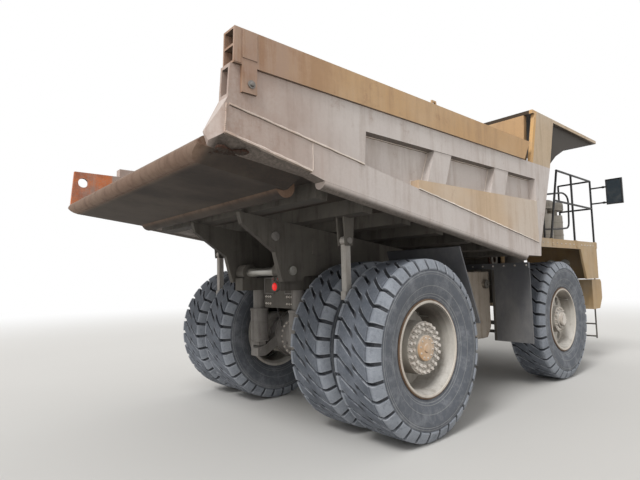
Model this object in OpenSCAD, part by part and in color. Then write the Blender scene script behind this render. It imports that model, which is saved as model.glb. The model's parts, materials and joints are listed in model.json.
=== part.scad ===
// Rigid-frame mining dump truck with two axles and a tipping bed, as separate bodies with real joints.
// Millimetres. +X points forward, +Y to the truck's left, +Z up from the ground.
// Places along X are first written from the rear axle; each sub-part is then moved so that the
// origin is the middle of the whole truck's length.

/* [Overall] */
// distance between the axles
wheelbase = 4400; // [4300:10:4500]
// rear axle to the tail of the bed
tail_overhang = 2900; // [2850:10:2950]
// front axle to the front of the bumper
nose_overhang = 2330; // [2300:10:2400]

/* [Tyres and rims] */
// tyre radius out to the tips of the lugs
tyre_r = 1060; // [1040:5:1070]
// width of one tyre
tyre_w = 650; // [620:5:655]
// radius where tyre and rim meet
rim_r = 545; // [530:5:560]
// middle of the front tyre, from the centre line
front_tyre_y = 1710; // [1700:5:1730]
// middle of the outer rear tyre, from the centre line
rear_outer_y = 1890; // [1880:5:1900]
// middle of the inner rear tyre, from the centre line
rear_inner_y = 1110; // [1100:5:1115]
// depth of the tread grooves
lug_h = 55; // [40:5:60]
// number of lugs on one side of a tyre
lug_count = 32; // [28:1:36]

/* [Frame] */
// outer face of a frame rail, from the centre line
rail_y = 560; // [540:5:570]
// width of a frame rail
rail_w = 200; // [160:5:220]
// top of the frame rails
rail_top = 1780; // [1740:5:1800]
// height of a frame rail
rail_h = 460; // [400:5:500]
// height of the deck that carries the cab
deck_top = 2530; // [2500:5:2560]
// outer edge of the deck
deck_y = 1980; // [1950:5:2000]

/* [Bed] */
// outer face of the bed's side walls
bed_y = 2200; // [2180:5:2220]
// thickness of a whole side wall
wall_t = 150; // [130:5:160]
// top of the side walls
wall_top = 3715; // [3695:5:3735]
// top of the right sideboard
board_top = 4035; // [4000:5:4060]
// top of the canopy over the cab
canopy_top = 4640; // [4610:5:4660]
// height of the floor where it rolls over into the tail's lip
floor_tail_z = 3110; // [3090:5:3130]
// slope of the floor, down towards the front
floor_angle = 7.18; // [7:0.1:7.4]
// thickness of the floor plate
floor_t = 40; // [30:5:50]

/* [Joints] */
// height of the bed's pivot
pivot_z = 2020; // [2010:5:2040]
// radial clearance between a pin and its eye
pin_gap = 1; // [0.5:0.1:2]
// radial clearance between a wheel hub and its spindle
hub_gap = 1; // [0.5:0.1:2]
// distance from the centre line to a kingpin
kingpin_y = 1100; // [1090:5:1110]
// kingpin to the tie rod's eye
arm_len = 500; // [480:5:520]

/* [Hidden] */
$fn = 64;
front_x = wheelbase;
tail_x = -tail_overhang;
nose_x = wheelbase + nose_overhang;
origin_x = (tail_x + nose_x) / 2;
hub_z = tyre_r;
rail_end = nose_x - 630;
deck_end = nose_x - 390;
deck_t = 160;
pivot_x = -850;
nose_r = 90;
slope_x = tail_x + nose_r + (nose_r + 5) * sin(floor_angle);
inner_y = bed_y - wall_t;
seam = 0.2;
tail_depth = 2 * nose_r + 10;
tail_len = 1000;
weld_angle = 9.45;
edge_angle = 12.1;
edge_len = 940;
round_angle = 8.66;
round_r = 73;
round_start = slope_x + 1158;
round_len = 4310;
pocket_top = 3450;
pocket_end = 3010;
gusset_start = -160;
plate_t = 50;
plate_top = 3590;
plate_hole = [slope_x + 98, 3430];
bed_front_x = 2940;
slope_len = (bed_front_x - slope_x) / cos(floor_angle);
hoist_y = 770;
longeron_y = rail_y + 10;
longeron_t = 80;
hoist_low = [1750, 850];
hoist_high = [2300, 2200];
hoist_angle = atan2(hoist_high[1] - hoist_low[1], hoist_high[0] - hoist_low[0]);
hoist_len = norm(hoist_high - hoist_low);
steer_pivot = [front_x - 300, rail_y - 210];
steer_eye = [front_x - 420, kingpin_y + 60];
steer_z = 965;
steer_angle = atan2(steer_eye[1] - steer_pivot[1], steer_eye[0] - steer_pivot[0]);
steer_len = norm(steer_eye - steer_pivot);
cab_x0 = 3620;
cab_x1 = 5200;
cab_y0 = 420;
cab_y1 = 1600;
cab_top = canopy_top - 520;
door_x0 = 3920;
door_x1 = 4780;
door_gap = 6;
door_axis = [door_x1 - 3, cab_y1 + 22];
door_hinge_z = [deck_top + 320, cab_top - 400];
window_z = deck_top + 750;

// height of the floor's top face at a place along X
function floor_z(x) = floor_tail_z - tan(floor_angle) * (x - slope_x);

// height at a place along X of a face that lies the depth d under the floor's top face
function under_z(x, d) = floor_z(x) - d / cos(floor_angle);

// heights at a place along X of the side beam's upper weld, its sharp lower edge at the tail
// and the middle line of its round lower edge further on
function weld_z(x) = floor_tail_z + 250 - tan(weld_angle) * (x - slope_x - 88);
function edge_z(x) = floor_tail_z - tan(edge_angle) * (x - slope_x - 68);
function round_z(x) = floor_tail_z - 267 - tan(round_angle) * (x - round_start);

// a block from its low corner to its high corner
module block(low, high) {
    translate(low) cube(high - low);
}

// a plate drawn in X and Z, from y0 to y1
module side_plate(points, y0, y1) {
    translate([0, y1, 0]) rotate([90, 0, 0]) linear_extrude(y1 - y0) polygon(points);
}

// a plate drawn in Y and Z, from x0 to x1
module front_plate(points, x0, x1) {
    translate([x0, 0, 0]) rotate([90, 0, 90]) linear_extrude(x1 - x0) polygon(points);
}

// a rod along Y at [x, z]
module rod_y(at, r, y0, y1) {
    translate([at[0], y1, at[1]]) rotate([90, 0, 0]) cylinder(r = r, h = y1 - y0);
}

// a rod along X at [y, z]
module rod_x(at, r, x0, x1) {
    translate([x0, at[0], at[1]]) rotate([0, 90, 0]) cylinder(r = r, h = x1 - x0);
}

// a rod along Z at [x, y]
module rod_z(at, r, z0, z1) {
    translate([at[0], at[1], z0]) cylinder(r = r, h = z1 - z0);
}

// a round bar between two points
module bar(a, b, r) {
    d = b - a;
    flat = norm([d[0], d[1]]);
    translate(a) rotate([0, atan2(flat, d[2]), atan2(d[1], d[0])]) cylinder(r = r, h = norm(d), $fn = 24);
}

// the children and their mirror image on the other side
module both_sides() {
    children();
    mirror([0, 1, 0]) children();
}

// the left one as drawn, or the right one mirrored
module on_side(side) {
    if (side < 0) {
        mirror([0, 1, 0]) children();
    } else {
        children();
    }
}

// moves from the rear axle to the truck's own origin
module placed() {
    translate([-origin_x, 0, 0]) children();
}

// the floor's frame: X along the slope from the tail, Z square to the floor
module on_floor() {
    translate([slope_x, 0, floor_tail_z]) rotate([0, floor_angle, 0]) children();
}

// chassis

module frame() {
    // rail outline in X and Z: level in the middle, raised over the rear axle
    rail = [[-980, 1760], [-980, 1940], [600, 1940], [1100, rail_top], [rail_end, rail_top],
        [rail_end, 1420], [rail_end - 800, rail_top - rail_h], [900, rail_top - rail_h], [400, 1480], [-480, 1480], [-480, 1760]];
    // crossmembers: x, width along X, bottom, top
    crossmembers = [[-600, 200, 1500, 1940], [380, 220, 1560, 1880], [1650, 200, 1620, 1770], [3250, 200, 1340, 1500],
        [rail_end - 160, 160, 1440, 1760]];
    color("dimgray") placed() {
        difference() {
            both_sides() union() {
                side_plate(rail, rail_y - rail_w, rail_y);
                // pivot boss on the rear end of the rail
                rod_y([pivot_x, pivot_z], 122, rail_y - rail_w, rail_y);
            }
            rod_y([pivot_x, pivot_z], 60.3, -700, 700);
        }
        for (c = crossmembers) {
            block([c[0], -rail_y + rail_w, c[2]], [c[0] + c[1], rail_y - rail_w, c[3]]);
        }
        // horns that carry the front struts, and the lower brackets of the hoists
        both_sides() difference() {
            union() {
                block([front_x - 200, rail_y, 1480], [front_x + 200, kingpin_y, 1700]);
                block([front_x - 120, rail_y, 1340], [front_x + 120, kingpin_y - 100, 1480]);
            }
            rod_z([front_x, kingpin_y], 172.3, 1300, 2600);
        }
        both_sides() {
            side_plate([[1500, 1322], [1630, 780], [1870, 780], [2000, 1322]], rail_y - 80, rail_y);
            rod_y(hoist_low, 45, rail_y - 40, hoist_y + 70);
            rod_y(hoist_low, 80, rail_y, hoist_y - 55);
        }
        // pivots of the steering cylinders under the rails
        both_sides() {
            rod_z(steer_pivot, 25, 900, 1060);
            block([steer_pivot[0] - 60, steer_pivot[1] - 60, 1060], [steer_pivot[0] + 60, steer_pivot[1] + 90, 1320]);
        }
    }
}

module bed_pivot_pin() {
    color("silver") placed() rod_y([pivot_x, pivot_z], 60, -longeron_y - longeron_t - 20, longeron_y + longeron_t + 20);
}

module bumper() {
    // bumper outline in X and Z, with a sloping lower front
    back = rail_end + 80;
    outline = [[back, 1750], [nose_x - 60, 1750], [nose_x, 1690], [nose_x, 1350], [nose_x - 170, 1130], [back, 1130]];
    color("goldenrod") placed() difference() {
        union() {
            side_plate(outline, -1900, 1900);
            both_sides() block([rail_end, rail_y - rail_w, 1450], [back, rail_y, 1750]);
        }
        // tow eye and the recess behind it
        rod_z([nose_x - 110, 0], 45, 1100, 1800);
        block([nose_x - 190, -220, 1500], [nose_x + 10, 220, 1620]);
    }
}

module engine_block() {
    color("gray") placed() {
        block([4250, -300, 1500], [5900, 300, 2350]);
        both_sides() block([4600, 300, 1600], [4800, rail_y - rail_w, 1700]);
        both_sides() block([5400, 300, 1600], [5600, rail_y - rail_w, 1700]);
    }
}

module driveline() {
    color("gray") placed() {
        block([1950, -260, 1380], [2900, 260, 1780]);
        both_sides() block([2300, 260, 1500], [2500, rail_y - rail_w, 1620]);
        rod_x([0, 1600], 70, 2900, 4250);
        rod_x([0, 1120], 110, 480.3, 520);
        bar([500, 0, 1125.6], [1950, 0, 1530], 70);
    }
}

module rear_axle_housing() {
    // steps of the housing along Y: from, to, radius
    steps = [[0, 420, 360], [420, 700, 250], [700, 1940, 180]];
    color("dimgray") placed() {
        both_sides() for (s = steps) {
            rod_y([0, hub_z], s[2], s[0], s[1]);
        }
        // the nose towards the driveline
        rod_x([0, hub_z], 200, 300, 480);
        // arms to the rear struts
        both_sides() difference() {
            side_plate([[-150, 1000], [-150, 1200], [-560, 940], [-700, 900], [-700, 780], [-560, 780]], 400, 540);
            rod_y([-620, 850], 45, 380, 560);
        }
        // drag links to the frame
        both_sides() side_plate([[200, 1000], [200, 1120], [910, 1319.7], [1020, 1319.7], [1020, 1240]], 440, 520);
    }
}

module suspension_struts() {
    color("silver") placed() both_sides() {
        // front cylinder, open below for the knuckle's rod
        difference() {
            rod_z([front_x, kingpin_y], 172, 1330, 2400);
            rod_z([front_x, kingpin_y], 110 + pin_gap, 1329, 2100);
        }
        // rear strut with an eye at its foot
        rod_z([-620, 470], 90, 1490, 1759.7);
        rod_z([-620, 470], 130, 1000, 1490);
        difference() {
            block([-690, 545, 780], [-550, 600, 960]);
            rod_y([-620, 850], 45, 500, 700);
        }
        block([-690, 395, 940.3], [-565, 600, 1000]);
        rod_y([-620, 850], 45, 395, 600);
    }
}

module fuel_tank() {
    color("tan") placed() {
        difference() {
            side_plate([[1520, 1030], [1640, 870], [2680, 870], [2800, 1030], [2800, 1950], [1520, 1950]], -1400, -910);
            block([1700, -1401, 1100], [1900, -1370, 1800]);
        }
        rod_y([2650, 1750], 70, -1440, -1400);
        // straps to the frame rail
        for (x = [2210, 2640]) {
            block([x, -910, 1500], [x + 120, -rail_y, 1640]);
        }
    }
}

module hydraulic_tank() {
    color("tan") placed() {
        block([1560, 910, 950], [2780, 1350, 1900]);
        rod_z([2450, 1100], 70, 1900, 1960);
        for (x = [2210, 2650]) {
            block([x, rail_y, 1500], [x + 110, 910, 1640]);
        }
    }
}

module hood() {
    color("goldenrod") placed() difference() {
        side_plate([[5240.3, 1780.3], [5240.3, 2740], [deck_end - 240, 2700], [deck_end, 2600], [deck_end, 1780.3]], -409.7, 409.7);
        side_plate([[5240, 1770], [5240, 2710], [deck_end - 250, 2672], [deck_end - 30, 2580], [deck_end - 30, 1770]], -380, 380);
    }
}

module radiator_grille() {
    color("dimgray") placed() {
        difference() {
            block([deck_end + 0.3, -700, 1780.3], [deck_end + 80, 700, 2480]);
            block([deck_end, -640, 1850], [deck_end + 81, 640, 2420]);
        }
        for (i = [0 : 7]) {
            block([deck_end + 30, -640, 1880 + i * 68], [deck_end + 60, 640, 1905 + i * 68]);
        }
    }
}

module decks() {
    color("goldenrod") placed() {
        difference() {
            union() {
                both_sides() block([3400, 410, deck_top - deck_t], [deck_end, deck_y, deck_top]);
                block([3400, -410, deck_top - deck_t], [5240, 410, deck_top]);
            }
            both_sides() block([3440, 450, deck_top - deck_t - 1], [deck_end - 40, deck_y - 40, deck_top - 40]);
            block([3440, -460, deck_top - deck_t - 1], [5200, 460, deck_top - 40]);
        }
        // posts from the deck to the rails and front legs
        both_sides() block([3460, 460, 1780], [3580, 540, deck_top - deck_t]);
        both_sides() block([3440, 450, deck_top - deck_t], [3600, 560, deck_top - 40]);
    }
}

module fenders() {
    // closure beside the front tyre, outline in X and Z
    closure = [[5440, deck_top - deck_t], [5680, 1770], [deck_end, 1770], [deck_end, deck_top - deck_t]];
    color("goldenrod") placed() both_sides() {
        side_plate(closure, deck_y - 40, deck_y);
        difference() {
            block([deck_end - 40, 720, 1770], [deck_end, deck_y - 40, deck_top - deck_t]);
            for (y = [1050, 1350]) {
                rod_x([y, 2100], 101, deck_end - 50, deck_end + 10);
            }
        }
        block([deck_end - 40, rail_y - 60, 1790], [deck_end, 720, deck_top - deck_t]);
    }
}

module ladders() {
    // stile outline in X and Z, from the bumper up to the deck
    stile = [[6530, 1750], [6390, 2440], [deck_end + 0.3, 2440], [deck_end + 0.3, 2500], [6430, 2500], [6590, 1750]];
    color("dimgray") placed() both_sides() {
        for (y = [1480, 1828]) {
            side_plate(stile, y, y + 12);
            block([6420, y, 500], [6480, y + 12, 1130]);
        }
        for (i = [1 : 3]) {
            rod_y([6557 - i * 37, 1750 + i * 182.5], 16, 1485, 1835);
        }
        for (z = [540, 800]) {
            rod_y([6450, z], 16, 1485, 1835);
        }
    }
}

module handrails() {
    // posts on the right deck's edge and on the left one ahead of the door: x
    color("black") placed() {
        rod_z([4132, -1950], 29, deck_top, deck_top + 25);
        bar([4130 + 5, -1950, deck_top + 10], [4560, -1950, 3855], 20);
        for (x = [5250, deck_end - 30]) {
            rod_z([x, -1950], 20, deck_top, 3860);
        }
        rod_x([-1950, 3855], 20, 4550, deck_end - 25);
        rod_x([-1950, 3260], 20, 4367, deck_end - 25);
        for (x = [4980, deck_end - 30]) {
            rod_z([x, 1950], 20, deck_top, 3640);
        }
        for (z = [3080, 3635]) {
            rod_x([1950, z], 20, 4980, deck_end - 25);
        }
        for (r = [[-1, 3855, 3260], [1, 3635, 3080]]) {
            rod_z([deck_end - 30, r[0] * 1300], 20, deck_top, r[1] + 5);
            rod_y([deck_end - 30, r[1]], 19, min(r[0] * 1300, r[0] * 1950), max(r[0] * 1300, r[0] * 1950));
            rod_y([deck_end - 30, r[2]], 19, min(r[0] * 1300, r[0] * 1950), max(r[0] * 1300, r[0] * 1950));
        }
    }
}

module mirrors() {
    color("black") placed() both_sides() {
        for (z = [3360, 3690]) {
            rod_y([deck_end - 30, z], 16, 1970.3, 2300);
        }
        block([deck_end - 50, 2250, 3310], [deck_end - 10, 2555, 3840]);
    }
}

module headlamps() {
    color("white") placed() both_sides() for (y = [1050, 1350]) {
        rod_x([y, 2100], 100, deck_end - 80, deck_end + 20);
    }
}

module tail_lamps() {
    color("red") placed() {
        rod_x([-20, 1820], 42, -650, -600.3);
    }
}

module air_cleaners() {
    color("dimgray") placed() for (x = [4650, 5130]) {
        rod_z([x, -1600], 180, deck_top, 3050);
        rod_z([x, -1600], 90, 3050, 3150);
        rod_z([x, -1600], 200, 3150, 3290);
    }
}

module exhaust_pipe() {
    color("sienna") placed() difference() {
        union() {
            rod_y([3150, 2170], 115, -1350, -700);
            rod_y([3150, 2170], 70, -700, -400);
            block([3090, -460, 1780], [3210, -400, 2170]);
        }
        rod_y([3150, 2170], 55, -1351, -720);
    }
}

module mud_flaps() {
    color("dimgray") placed() {
        both_sides() {
            block([2880, 1420, 790], [2900, 2080, 2090]);
            block([2840, rail_y, 2000], [2880, 2080, 2090]);
            block([2840, rail_y, 1700], [2880, 640, 2000]);
            side_plate([[880, 2290], [900, 2300], [1330, 1250], [1310, 1240]], 800, 2060);
            for (p = [[1142, 1650], [1236, 1420]]) {
                rod_y(p, 28, rail_y + 0.2, 860);
            }
        }
    }
}

module cab_shell() {
    // windows in the side walls: outline in X and Z
    side_window = [[3800, window_z], [3800, cab_top - 150], [4900, cab_top - 150], [5010, window_z]];
    color("goldenrod") placed() difference() {
        side_plate([[cab_x0, deck_top], [cab_x0, cab_top], [5060, cab_top], [cab_x1, 3220], [cab_x1, deck_top]], cab_y0, cab_y1);
        side_plate([[cab_x0 + 60, deck_top + 40], [cab_x0 + 60, cab_top - 60], [5010, cab_top - 60], [cab_x1 - 60, 3210],
            [cab_x1 - 60, deck_top + 40]], cab_y0 + 60, cab_y1 - 60);
        // right side window, windscreen, rear window
        side_plate(side_window, cab_y0 - 10, cab_y0 + 70);
        block([5000, cab_y0 + 120, window_z], [5300, cab_y1 - 120, cab_top - 140]);
        block([cab_x0 - 10, cab_y0 + 150, window_z], [cab_x0 + 70, cab_y1 - 150, cab_top - 150]);
        // doorway
        block([door_x0, cab_y1 - 70, deck_top + 60], [door_x1, cab_y1 + 10, cab_top - 130]);
        // the panels meet along the floor, under the roof and behind the side walls
        for (z = [deck_top + 40, cab_top - 60]) {
            block([cab_x0 - 10, cab_y0 - 10, z], [cab_x1 + 10, cab_y1 + 10, z + seam]);
        }
        for (y = [cab_y0 + 60, cab_y1 - 60 - seam]) {
            block([cab_x0 - 10, y, deck_top + 40], [cab_x1 + 10, y + seam, cab_top - 60 + seam]);
        }
    }
    // hinge pins ahead of the doorway, each held by two ears
    color("goldenrod") placed() for (z = door_hinge_z) {
        rod_z(door_axis, 10, z - 70, z + 70);
        for (e = [z - 80, z + 62]) {
            block([door_axis[0] - 14, door_axis[1] - 8, e], [door_x1 + 40, door_axis[1] + 14, e + 18]);
            block([door_x1, cab_y1, e], [door_x1 + 40, door_axis[1], e + 18]);
        }
    }
}

module cab_glass() {
    color("lightblue") placed() {
        side_plate([[3800.3, window_z + 0.3], [3800.3, cab_top - 150.3], [4899.7, cab_top - 150.3], [5009.6, window_z + 0.3]],
            cab_y0 + 25, cab_y0 + 35);
        block([cab_x0 + 25, cab_y0 + 150.3, window_z + 0.3], [cab_x0 + 35, cab_y1 - 150.3, cab_top - 150.3]);
        side_plate([[5160, window_z + 0.3], [5052, cab_top - 140.3], [5042, cab_top - 140.3], [5150, window_z + 0.3]],
            cab_y0 + 120.3, cab_y1 - 120.3);
    }
}

module cab_console() {
    color("dimgray") placed() {
        side_plate([[4850, deck_top + 40], [4850, 3050], [4950, 3180], [5139, 3180], [5139, deck_top + 40]], cab_y0 + 61, cab_y1 - 61);
        bar([4900, 1000, 3050], [4700.4, 1000, 3199.7], 30);
    }
}

module seat() {
    color("black") placed() {
        block([4000, 850, deck_top + 40], [4300, 1150, 2800]);
        block([3920, 760, 2800], [4420, 1240, 2920]);
        side_plate([[3920, 2920], [3780, 3560], [3880, 3580], [4040, 2920]], 780, 1220);
    }
}

module steering_wheel() {
    color("black") placed() translate([4700, 1000, 3200]) rotate([0, -53, 0]) {
        rotate_extrude() translate([210, 0]) circle(r = 16, $fn = 24);
        cylinder(r = 50, h = 30);
        for (a = [0, 120, 240]) {
            rotate([0, 0, a]) translate([40, -15, 5]) cube([160, 30, 12]);
        }
    }
}

module door_left() {
    color("goldenrod") placed() {
        difference() {
            block([door_x0 + door_gap, cab_y1 - 60, deck_top + 60 + door_gap], [door_x1 - door_gap, cab_y1, cab_top - 130 - door_gap]);
            block([door_x0 + 80, cab_y1 - 70, window_z + 20], [door_x1 - 80, cab_y1 + 10, cab_top - 210]);
        }
        block([door_x0 + 60, cab_y1, 3150], [door_x0 + 90, cab_y1 + 40, 3200]);
        // hinge barrels
        for (z = door_hinge_z) {
            difference() {
                union() {
                    rod_z(door_axis, 20, z - 55, z + 55);
                    block([door_axis[0] - 60, cab_y1 - 2, z - 55], [door_axis[0] - 6, cab_y1 + 12, z + 55]);
                }
                rod_z(door_axis, 10 + pin_gap, z - 60, z + 60);
            }
        }
    }
}

module door_glass() {
    color("lightblue") placed() block([door_x0 + 80.3, cab_y1 - 35, window_z + 20.3], [door_x1 - 80.3, cab_y1 - 25, cab_top - 210.3]);
}

// bed

module bed_floor() {
    half = inner_y - seam;
    color("tan") placed() on_floor() {
        difference() {
            union() {
                block([0, -half, -floor_t], [slope_len, half, 0]);
                block([0, -half, -tail_depth], [tail_len, half, -floor_t]);
                // the lip rolls over in a half round
                rod_y([0, -tail_depth / 2], nose_r, -half, half);
            }
            // the tail is a hollow box
            block([40, -half + 260, -tail_depth + 20], [tail_len - 60, half - 260, -floor_t]);
            // its underside rises towards the side beams
            both_sides() front_plate([[1850, -tail_depth - 1], [half + 10, -90], [half + 10, -400], [1850, -400]], -200, tail_len + 20);
        }
        // rounded rib across the front of the tail box
        rod_y([tail_len + 20, -140], 118, -1780, 1780);
    }
}

// one side wall drawn on the left: outline, pocket and stakes
module bed_wall() {
    outline = [[slope_x - 12, floor_z(slope_x - 12) - 94], [slope_x - 52, floor_z(slope_x - 52) + 14],
        [slope_x + 98, weld_z(slope_x + 98) + 60], [slope_x + 120, wall_top], [3640, wall_top], [3100, weld_z(3100)],
        [3070, weld_z(3100) - 205], [round_start + round_len - 50, round_z(round_start + round_len - 50)],
        [round_start, round_z(round_start)], [slope_x + 992, floor_z(slope_x + 992) - 96]];
    pocket = [[-1075, weld_z(-1075)], [-1040, pocket_top], [pocket_end, pocket_top], [pocket_end, weld_z(pocket_end)]];
    // stakes left in the pocket: x at the foot, lean, width
    stakes = [[50, 160, 380], [1560, 150, 410]];
    difference() {
        side_plate(outline, inner_y, bed_y);
        side_plate(pocket, inner_y + 30, bed_y + 1);
        // the beam's underside slopes in from its sharp outer edge near the tail
        translate([slope_x + 68, 0, edge_z(slope_x + 68)]) rotate([0, edge_angle, 0])
            front_plate([[bed_y + 13, 9], [inner_y - 13, -113], [inner_y - 13, -400], [bed_y + 13, -400]], -300, edge_len);
        // the tail end of the beam is cut at a slant
        translate([0, 0, floor_tail_z - 300]) linear_extrude(600)
            polygon([[slope_x - 62, inner_y], [slope_x + 68, bed_y], [slope_x + 68, bed_y + 20], [slope_x - 62, bed_y + 20]]);
    }
    for (s = stakes) {
        side_plate([[s[0], gusset_z(s[0]) + seam], [s[0] + s[1], pocket_top], [s[0] + s[1] + s[2], pocket_top],
            [s[0] + s[2], gusset_z(s[0] + s[2]) + seam]], inner_y + 30, bed_y - 10);
    }
    // round lower edge of the side beam
    translate([round_start, 0, round_z(round_start)]) rotate([0, round_angle, 0])
        rod_x([bed_y - wall_t / 2, 0], round_r, 0, round_len);
}

// height at a place along X of the gusset panel's top edge
function gusset_z(x) = floor_tail_z - 70 + 0.0142 * (x - gusset_start);

module bed_wall_right() {
    color("tan") placed() mirror([0, 1, 0]) {
        difference() {
            bed_wall();
            // open end of the box section at the tail
            block([slope_x, inner_y + 25, weld_z(slope_x + 98) + 90], [slope_x + 250, bed_y - 25, wall_top - 30]);
        }
    }
}

module bed_wall_left() {
    color("tan") placed() {
        difference() {
            union() {
                bed_wall();
                side_plate([[slope_x - 66, 3090], [slope_x - 22, plate_top], [slope_x + 400, plate_top], [slope_x + 400, 3200]],
                    inner_y, inner_y + plate_t);
            }
            // only the inner plate is left at the tail, with its pin hole
            block([slope_x - 100, inner_y + plate_t, plate_hole[1] - 85], [slope_x + 628, bed_y + 1, wall_top + 1]);
            block([slope_x - 100, inner_y - 1, plate_top], [slope_x + 628, bed_y + 1, wall_top + 1]);
            rod_y(plate_hole, 70, inner_y - 80, bed_y);
        }
    }
}

// panels that stiffen the side walls, set in the pockets over the side beams
module bed_gussets() {
    color("goldenrod") placed() both_sides() {
        side_plate([[gusset_start, weld_z(gusset_start) + seam], [gusset_start, gusset_z(gusset_start)],
            [pocket_end - seam, gusset_z(pocket_end)], [pocket_end - seam, weld_z(pocket_end) + seam]], inner_y + 30 + seam, bed_y + 8);
    }
}

module bed_front_wall() {
    color("tan") placed() {
        side_plate([[bed_front_x - 100, floor_z(bed_front_x - 100) + 0.2], [3180 - 100, canopy_top - 60.3],
            [3180, canopy_top - 60.3], [bed_front_x, floor_z(bed_front_x) + 0.2]], -inner_y, inner_y);
    }
}

module bed_canopy() {
    // underside of the roof, where the side plates and gussets meet it
    roof = canopy_top - 60 - seam;
    color("goldenrod") placed() {
        block([3080, -bed_y, canopy_top - 60], [6070, bed_y, canopy_top]);
        // rim along the roof's edges
        both_sides() block([3450, bed_y - 60, canopy_top - 1], [5900, bed_y - 48, canopy_top + 30]);
        both_sides() {
            // side plate that carries on from the wall's front post
            side_plate([[2900, wall_top + seam], [3152, roof], [3910, roof], [3850, canopy_top - 250],
                [3640, wall_top + seam]], bed_y - 60, bed_y);
            // gusset under the roof in three plates: each one's low rear, low front, top front and top rear corner
            for (g = [[[3640, wall_top + seam], [4080, canopy_top - 630], [4080, roof], [3600, roof]],
                [[4080 + seam, canopy_top - 630], [4550, canopy_top - 420], [4550, roof], [4080 + seam, roof]],
                [[4550 + seam, canopy_top - 420], [5960, canopy_top - 80], [6000, roof], [4550 + seam, roof]]]) {
                side_plate(g, bed_y - 110, bed_y - 60 - seam);
            }
        }
    }
}

module sideboard_right() {
    // it stands out over the wall, with two open cells at the tail
    cell = (board_top - wall_top - 60) / 2;
    color("tan") placed() {
        difference() {
            side_plate([[slope_x + 138, wall_top + seam], [slope_x + 150, board_top], [2840, board_top], [2620, wall_top + seam]],
                -bed_y - 30, -inner_y);
            for (z = [wall_top + 20, wall_top + 40 + cell]) {
                block([slope_x, -bed_y - 10, z], [slope_x + 500, -inner_y - 20, z + cell]);
            }
        }
        // leg with the pin that fastens it to the wall
        difference() {
            block([-2580, -bed_y - 30, 3480], [-2430, -bed_y - seam, wall_top + 60]);
            rod_y([-2490, 3560], 20, -bed_y - 40, -bed_y - 10);
        }
        // lifting eye
        difference() {
            side_plate([[280, board_top - 1], [300, board_top + 110], [390, board_top + 110], [410, board_top - 1]], -2130, -2110);
            rod_y([345, board_top + 60], 28, -2140, -2100);
        }
    }
}

module bed_ribs() {
    // distance of each rib along the floor
    color("dimgray") placed() on_floor() for (s = [1300, 2000, 2700, 3400, 4100, 4800, 5400]) {
        block([s, -inner_y + 120, -220], [s + 160, inner_y - 120, -floor_t]);
    }
    // ears and pins of the rock ejectors
    color("dimgray") placed() both_sides() {
        for (y = [1430, 1546]) {
            side_plate([[-760, 2290], [-640, 2290], [-600, under_z(-600, floor_t + seam)],
                [-800, under_z(-800, floor_t + seam)]], y, y + 24);
        }
        rod_y([-700, 2350], 25, 1430, 1570);
    }
}

module bed_longerons() {
    color("dimgray") placed() both_sides() difference() {
        union() {
            side_plate([[-1650, under_z(-1650, 220.3)], [-1610, 2600], [-1120, 2260], [-1060, 2040], [-1010, 1880], [-700, 1880], [-640, 1946], [600, 1946],
                [1100, rail_top + 8], [2820, rail_top + 8], [2820, under_z(2820, 220.3)]],
                longeron_y, longeron_y + longeron_t);
            // bosses of the hoists' upper pins
            rod_y(hoist_high, 80, longeron_y + longeron_t - 10, hoist_y - 55);
        }
        rod_y([pivot_x, pivot_z], 60 + pin_gap, longeron_y - 1, longeron_y + longeron_t + 1);
    }
}

module rock_ejector() {
    color("dimgray") placed() {
        difference() {
            union() {
                block([-740, 1460, 1650], [-660, 1540, 2310]);
                rod_y([-700, 2350], 60, 1460, 1540);
                block([-760, 1460, 1650], [-640, 1540, 1750]);
            }
            rod_y([-700, 2350], 26, 1450, 1550);
        }
    }
}

module rock_ejector_left() {
    rock_ejector();
}

module rock_ejector_right() {
    mirror([0, 1, 0]) rock_ejector();
}

// hoists, drawn along +Z from the lower pin and then leaned into place

module hoist_frame(side) {
    placed() on_side(side) translate([hoist_low[0], hoist_y, hoist_low[1]]) rotate([0, 90 - hoist_angle, 0]) children();
}

module hoist_barrel() {
    difference() {
        union() {
            translate([0, 0, 90]) cylinder(r = 105, h = 1190);
            rod_y([0, 0], 100, -50, 50);
        }
        translate([0, 0, 110]) cylinder(r = 86 + pin_gap, h = 1300);
        rod_y([0, 0], 45 + pin_gap, -120, 120);
    }
}

module hoist_barrel_left() {
    color("dimgray") hoist_frame(1) hoist_barrel();
}

module hoist_barrel_right() {
    color("dimgray") hoist_frame(-1) hoist_barrel();
}

module hoist_stage() {
    difference() {
        translate([0, 0, 120]) cylinder(r = 86, h = 1200);
        translate([0, 0, 140]) cylinder(r = 60 + pin_gap, h = 1300);
    }
}

module hoist_stage_left() {
    color("silver") hoist_frame(1) hoist_stage();
}

module hoist_stage_right() {
    color("silver") hoist_frame(-1) hoist_stage();
}

module hoist_rod() {
    difference() {
        union() {
            translate([0, 0, 150]) cylinder(r = 60, h = hoist_len - 230);
            rod_y([0, hoist_len], 85, -50, 50);
            rod_y([0, hoist_len], 45, 50, 80);
        }
        rod_y([0, hoist_len], 12, 60, 90);
    }
}

module hoist_rod_left() {
    color("silver") hoist_frame(1) hoist_rod();
}

module hoist_rod_right() {
    color("silver") hoist_frame(-1) hoist_rod();
}

// steering

module knuckle() {
    color("dimgray") placed() {
        rod_z([front_x, kingpin_y], 110, 1250, 2050);
        rod_z([front_x, kingpin_y], 190, 760, 1250);
        rod_y([front_x, hub_z], 150, kingpin_y, kingpin_y + 285);
        rod_y([front_x, hub_z], 110, kingpin_y, 1790);
        // steering arm with the tie rod's pin
        side_plate([[front_x - arm_len - 70, 860], [front_x - arm_len - 70, 920], [front_x, 920], [front_x, 860]],
            kingpin_y - 60, kingpin_y + 110);
        rod_z([front_x - arm_len, kingpin_y], 25, 760, 920);
    }
}

module knuckle_left() {
    knuckle();
}

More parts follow.
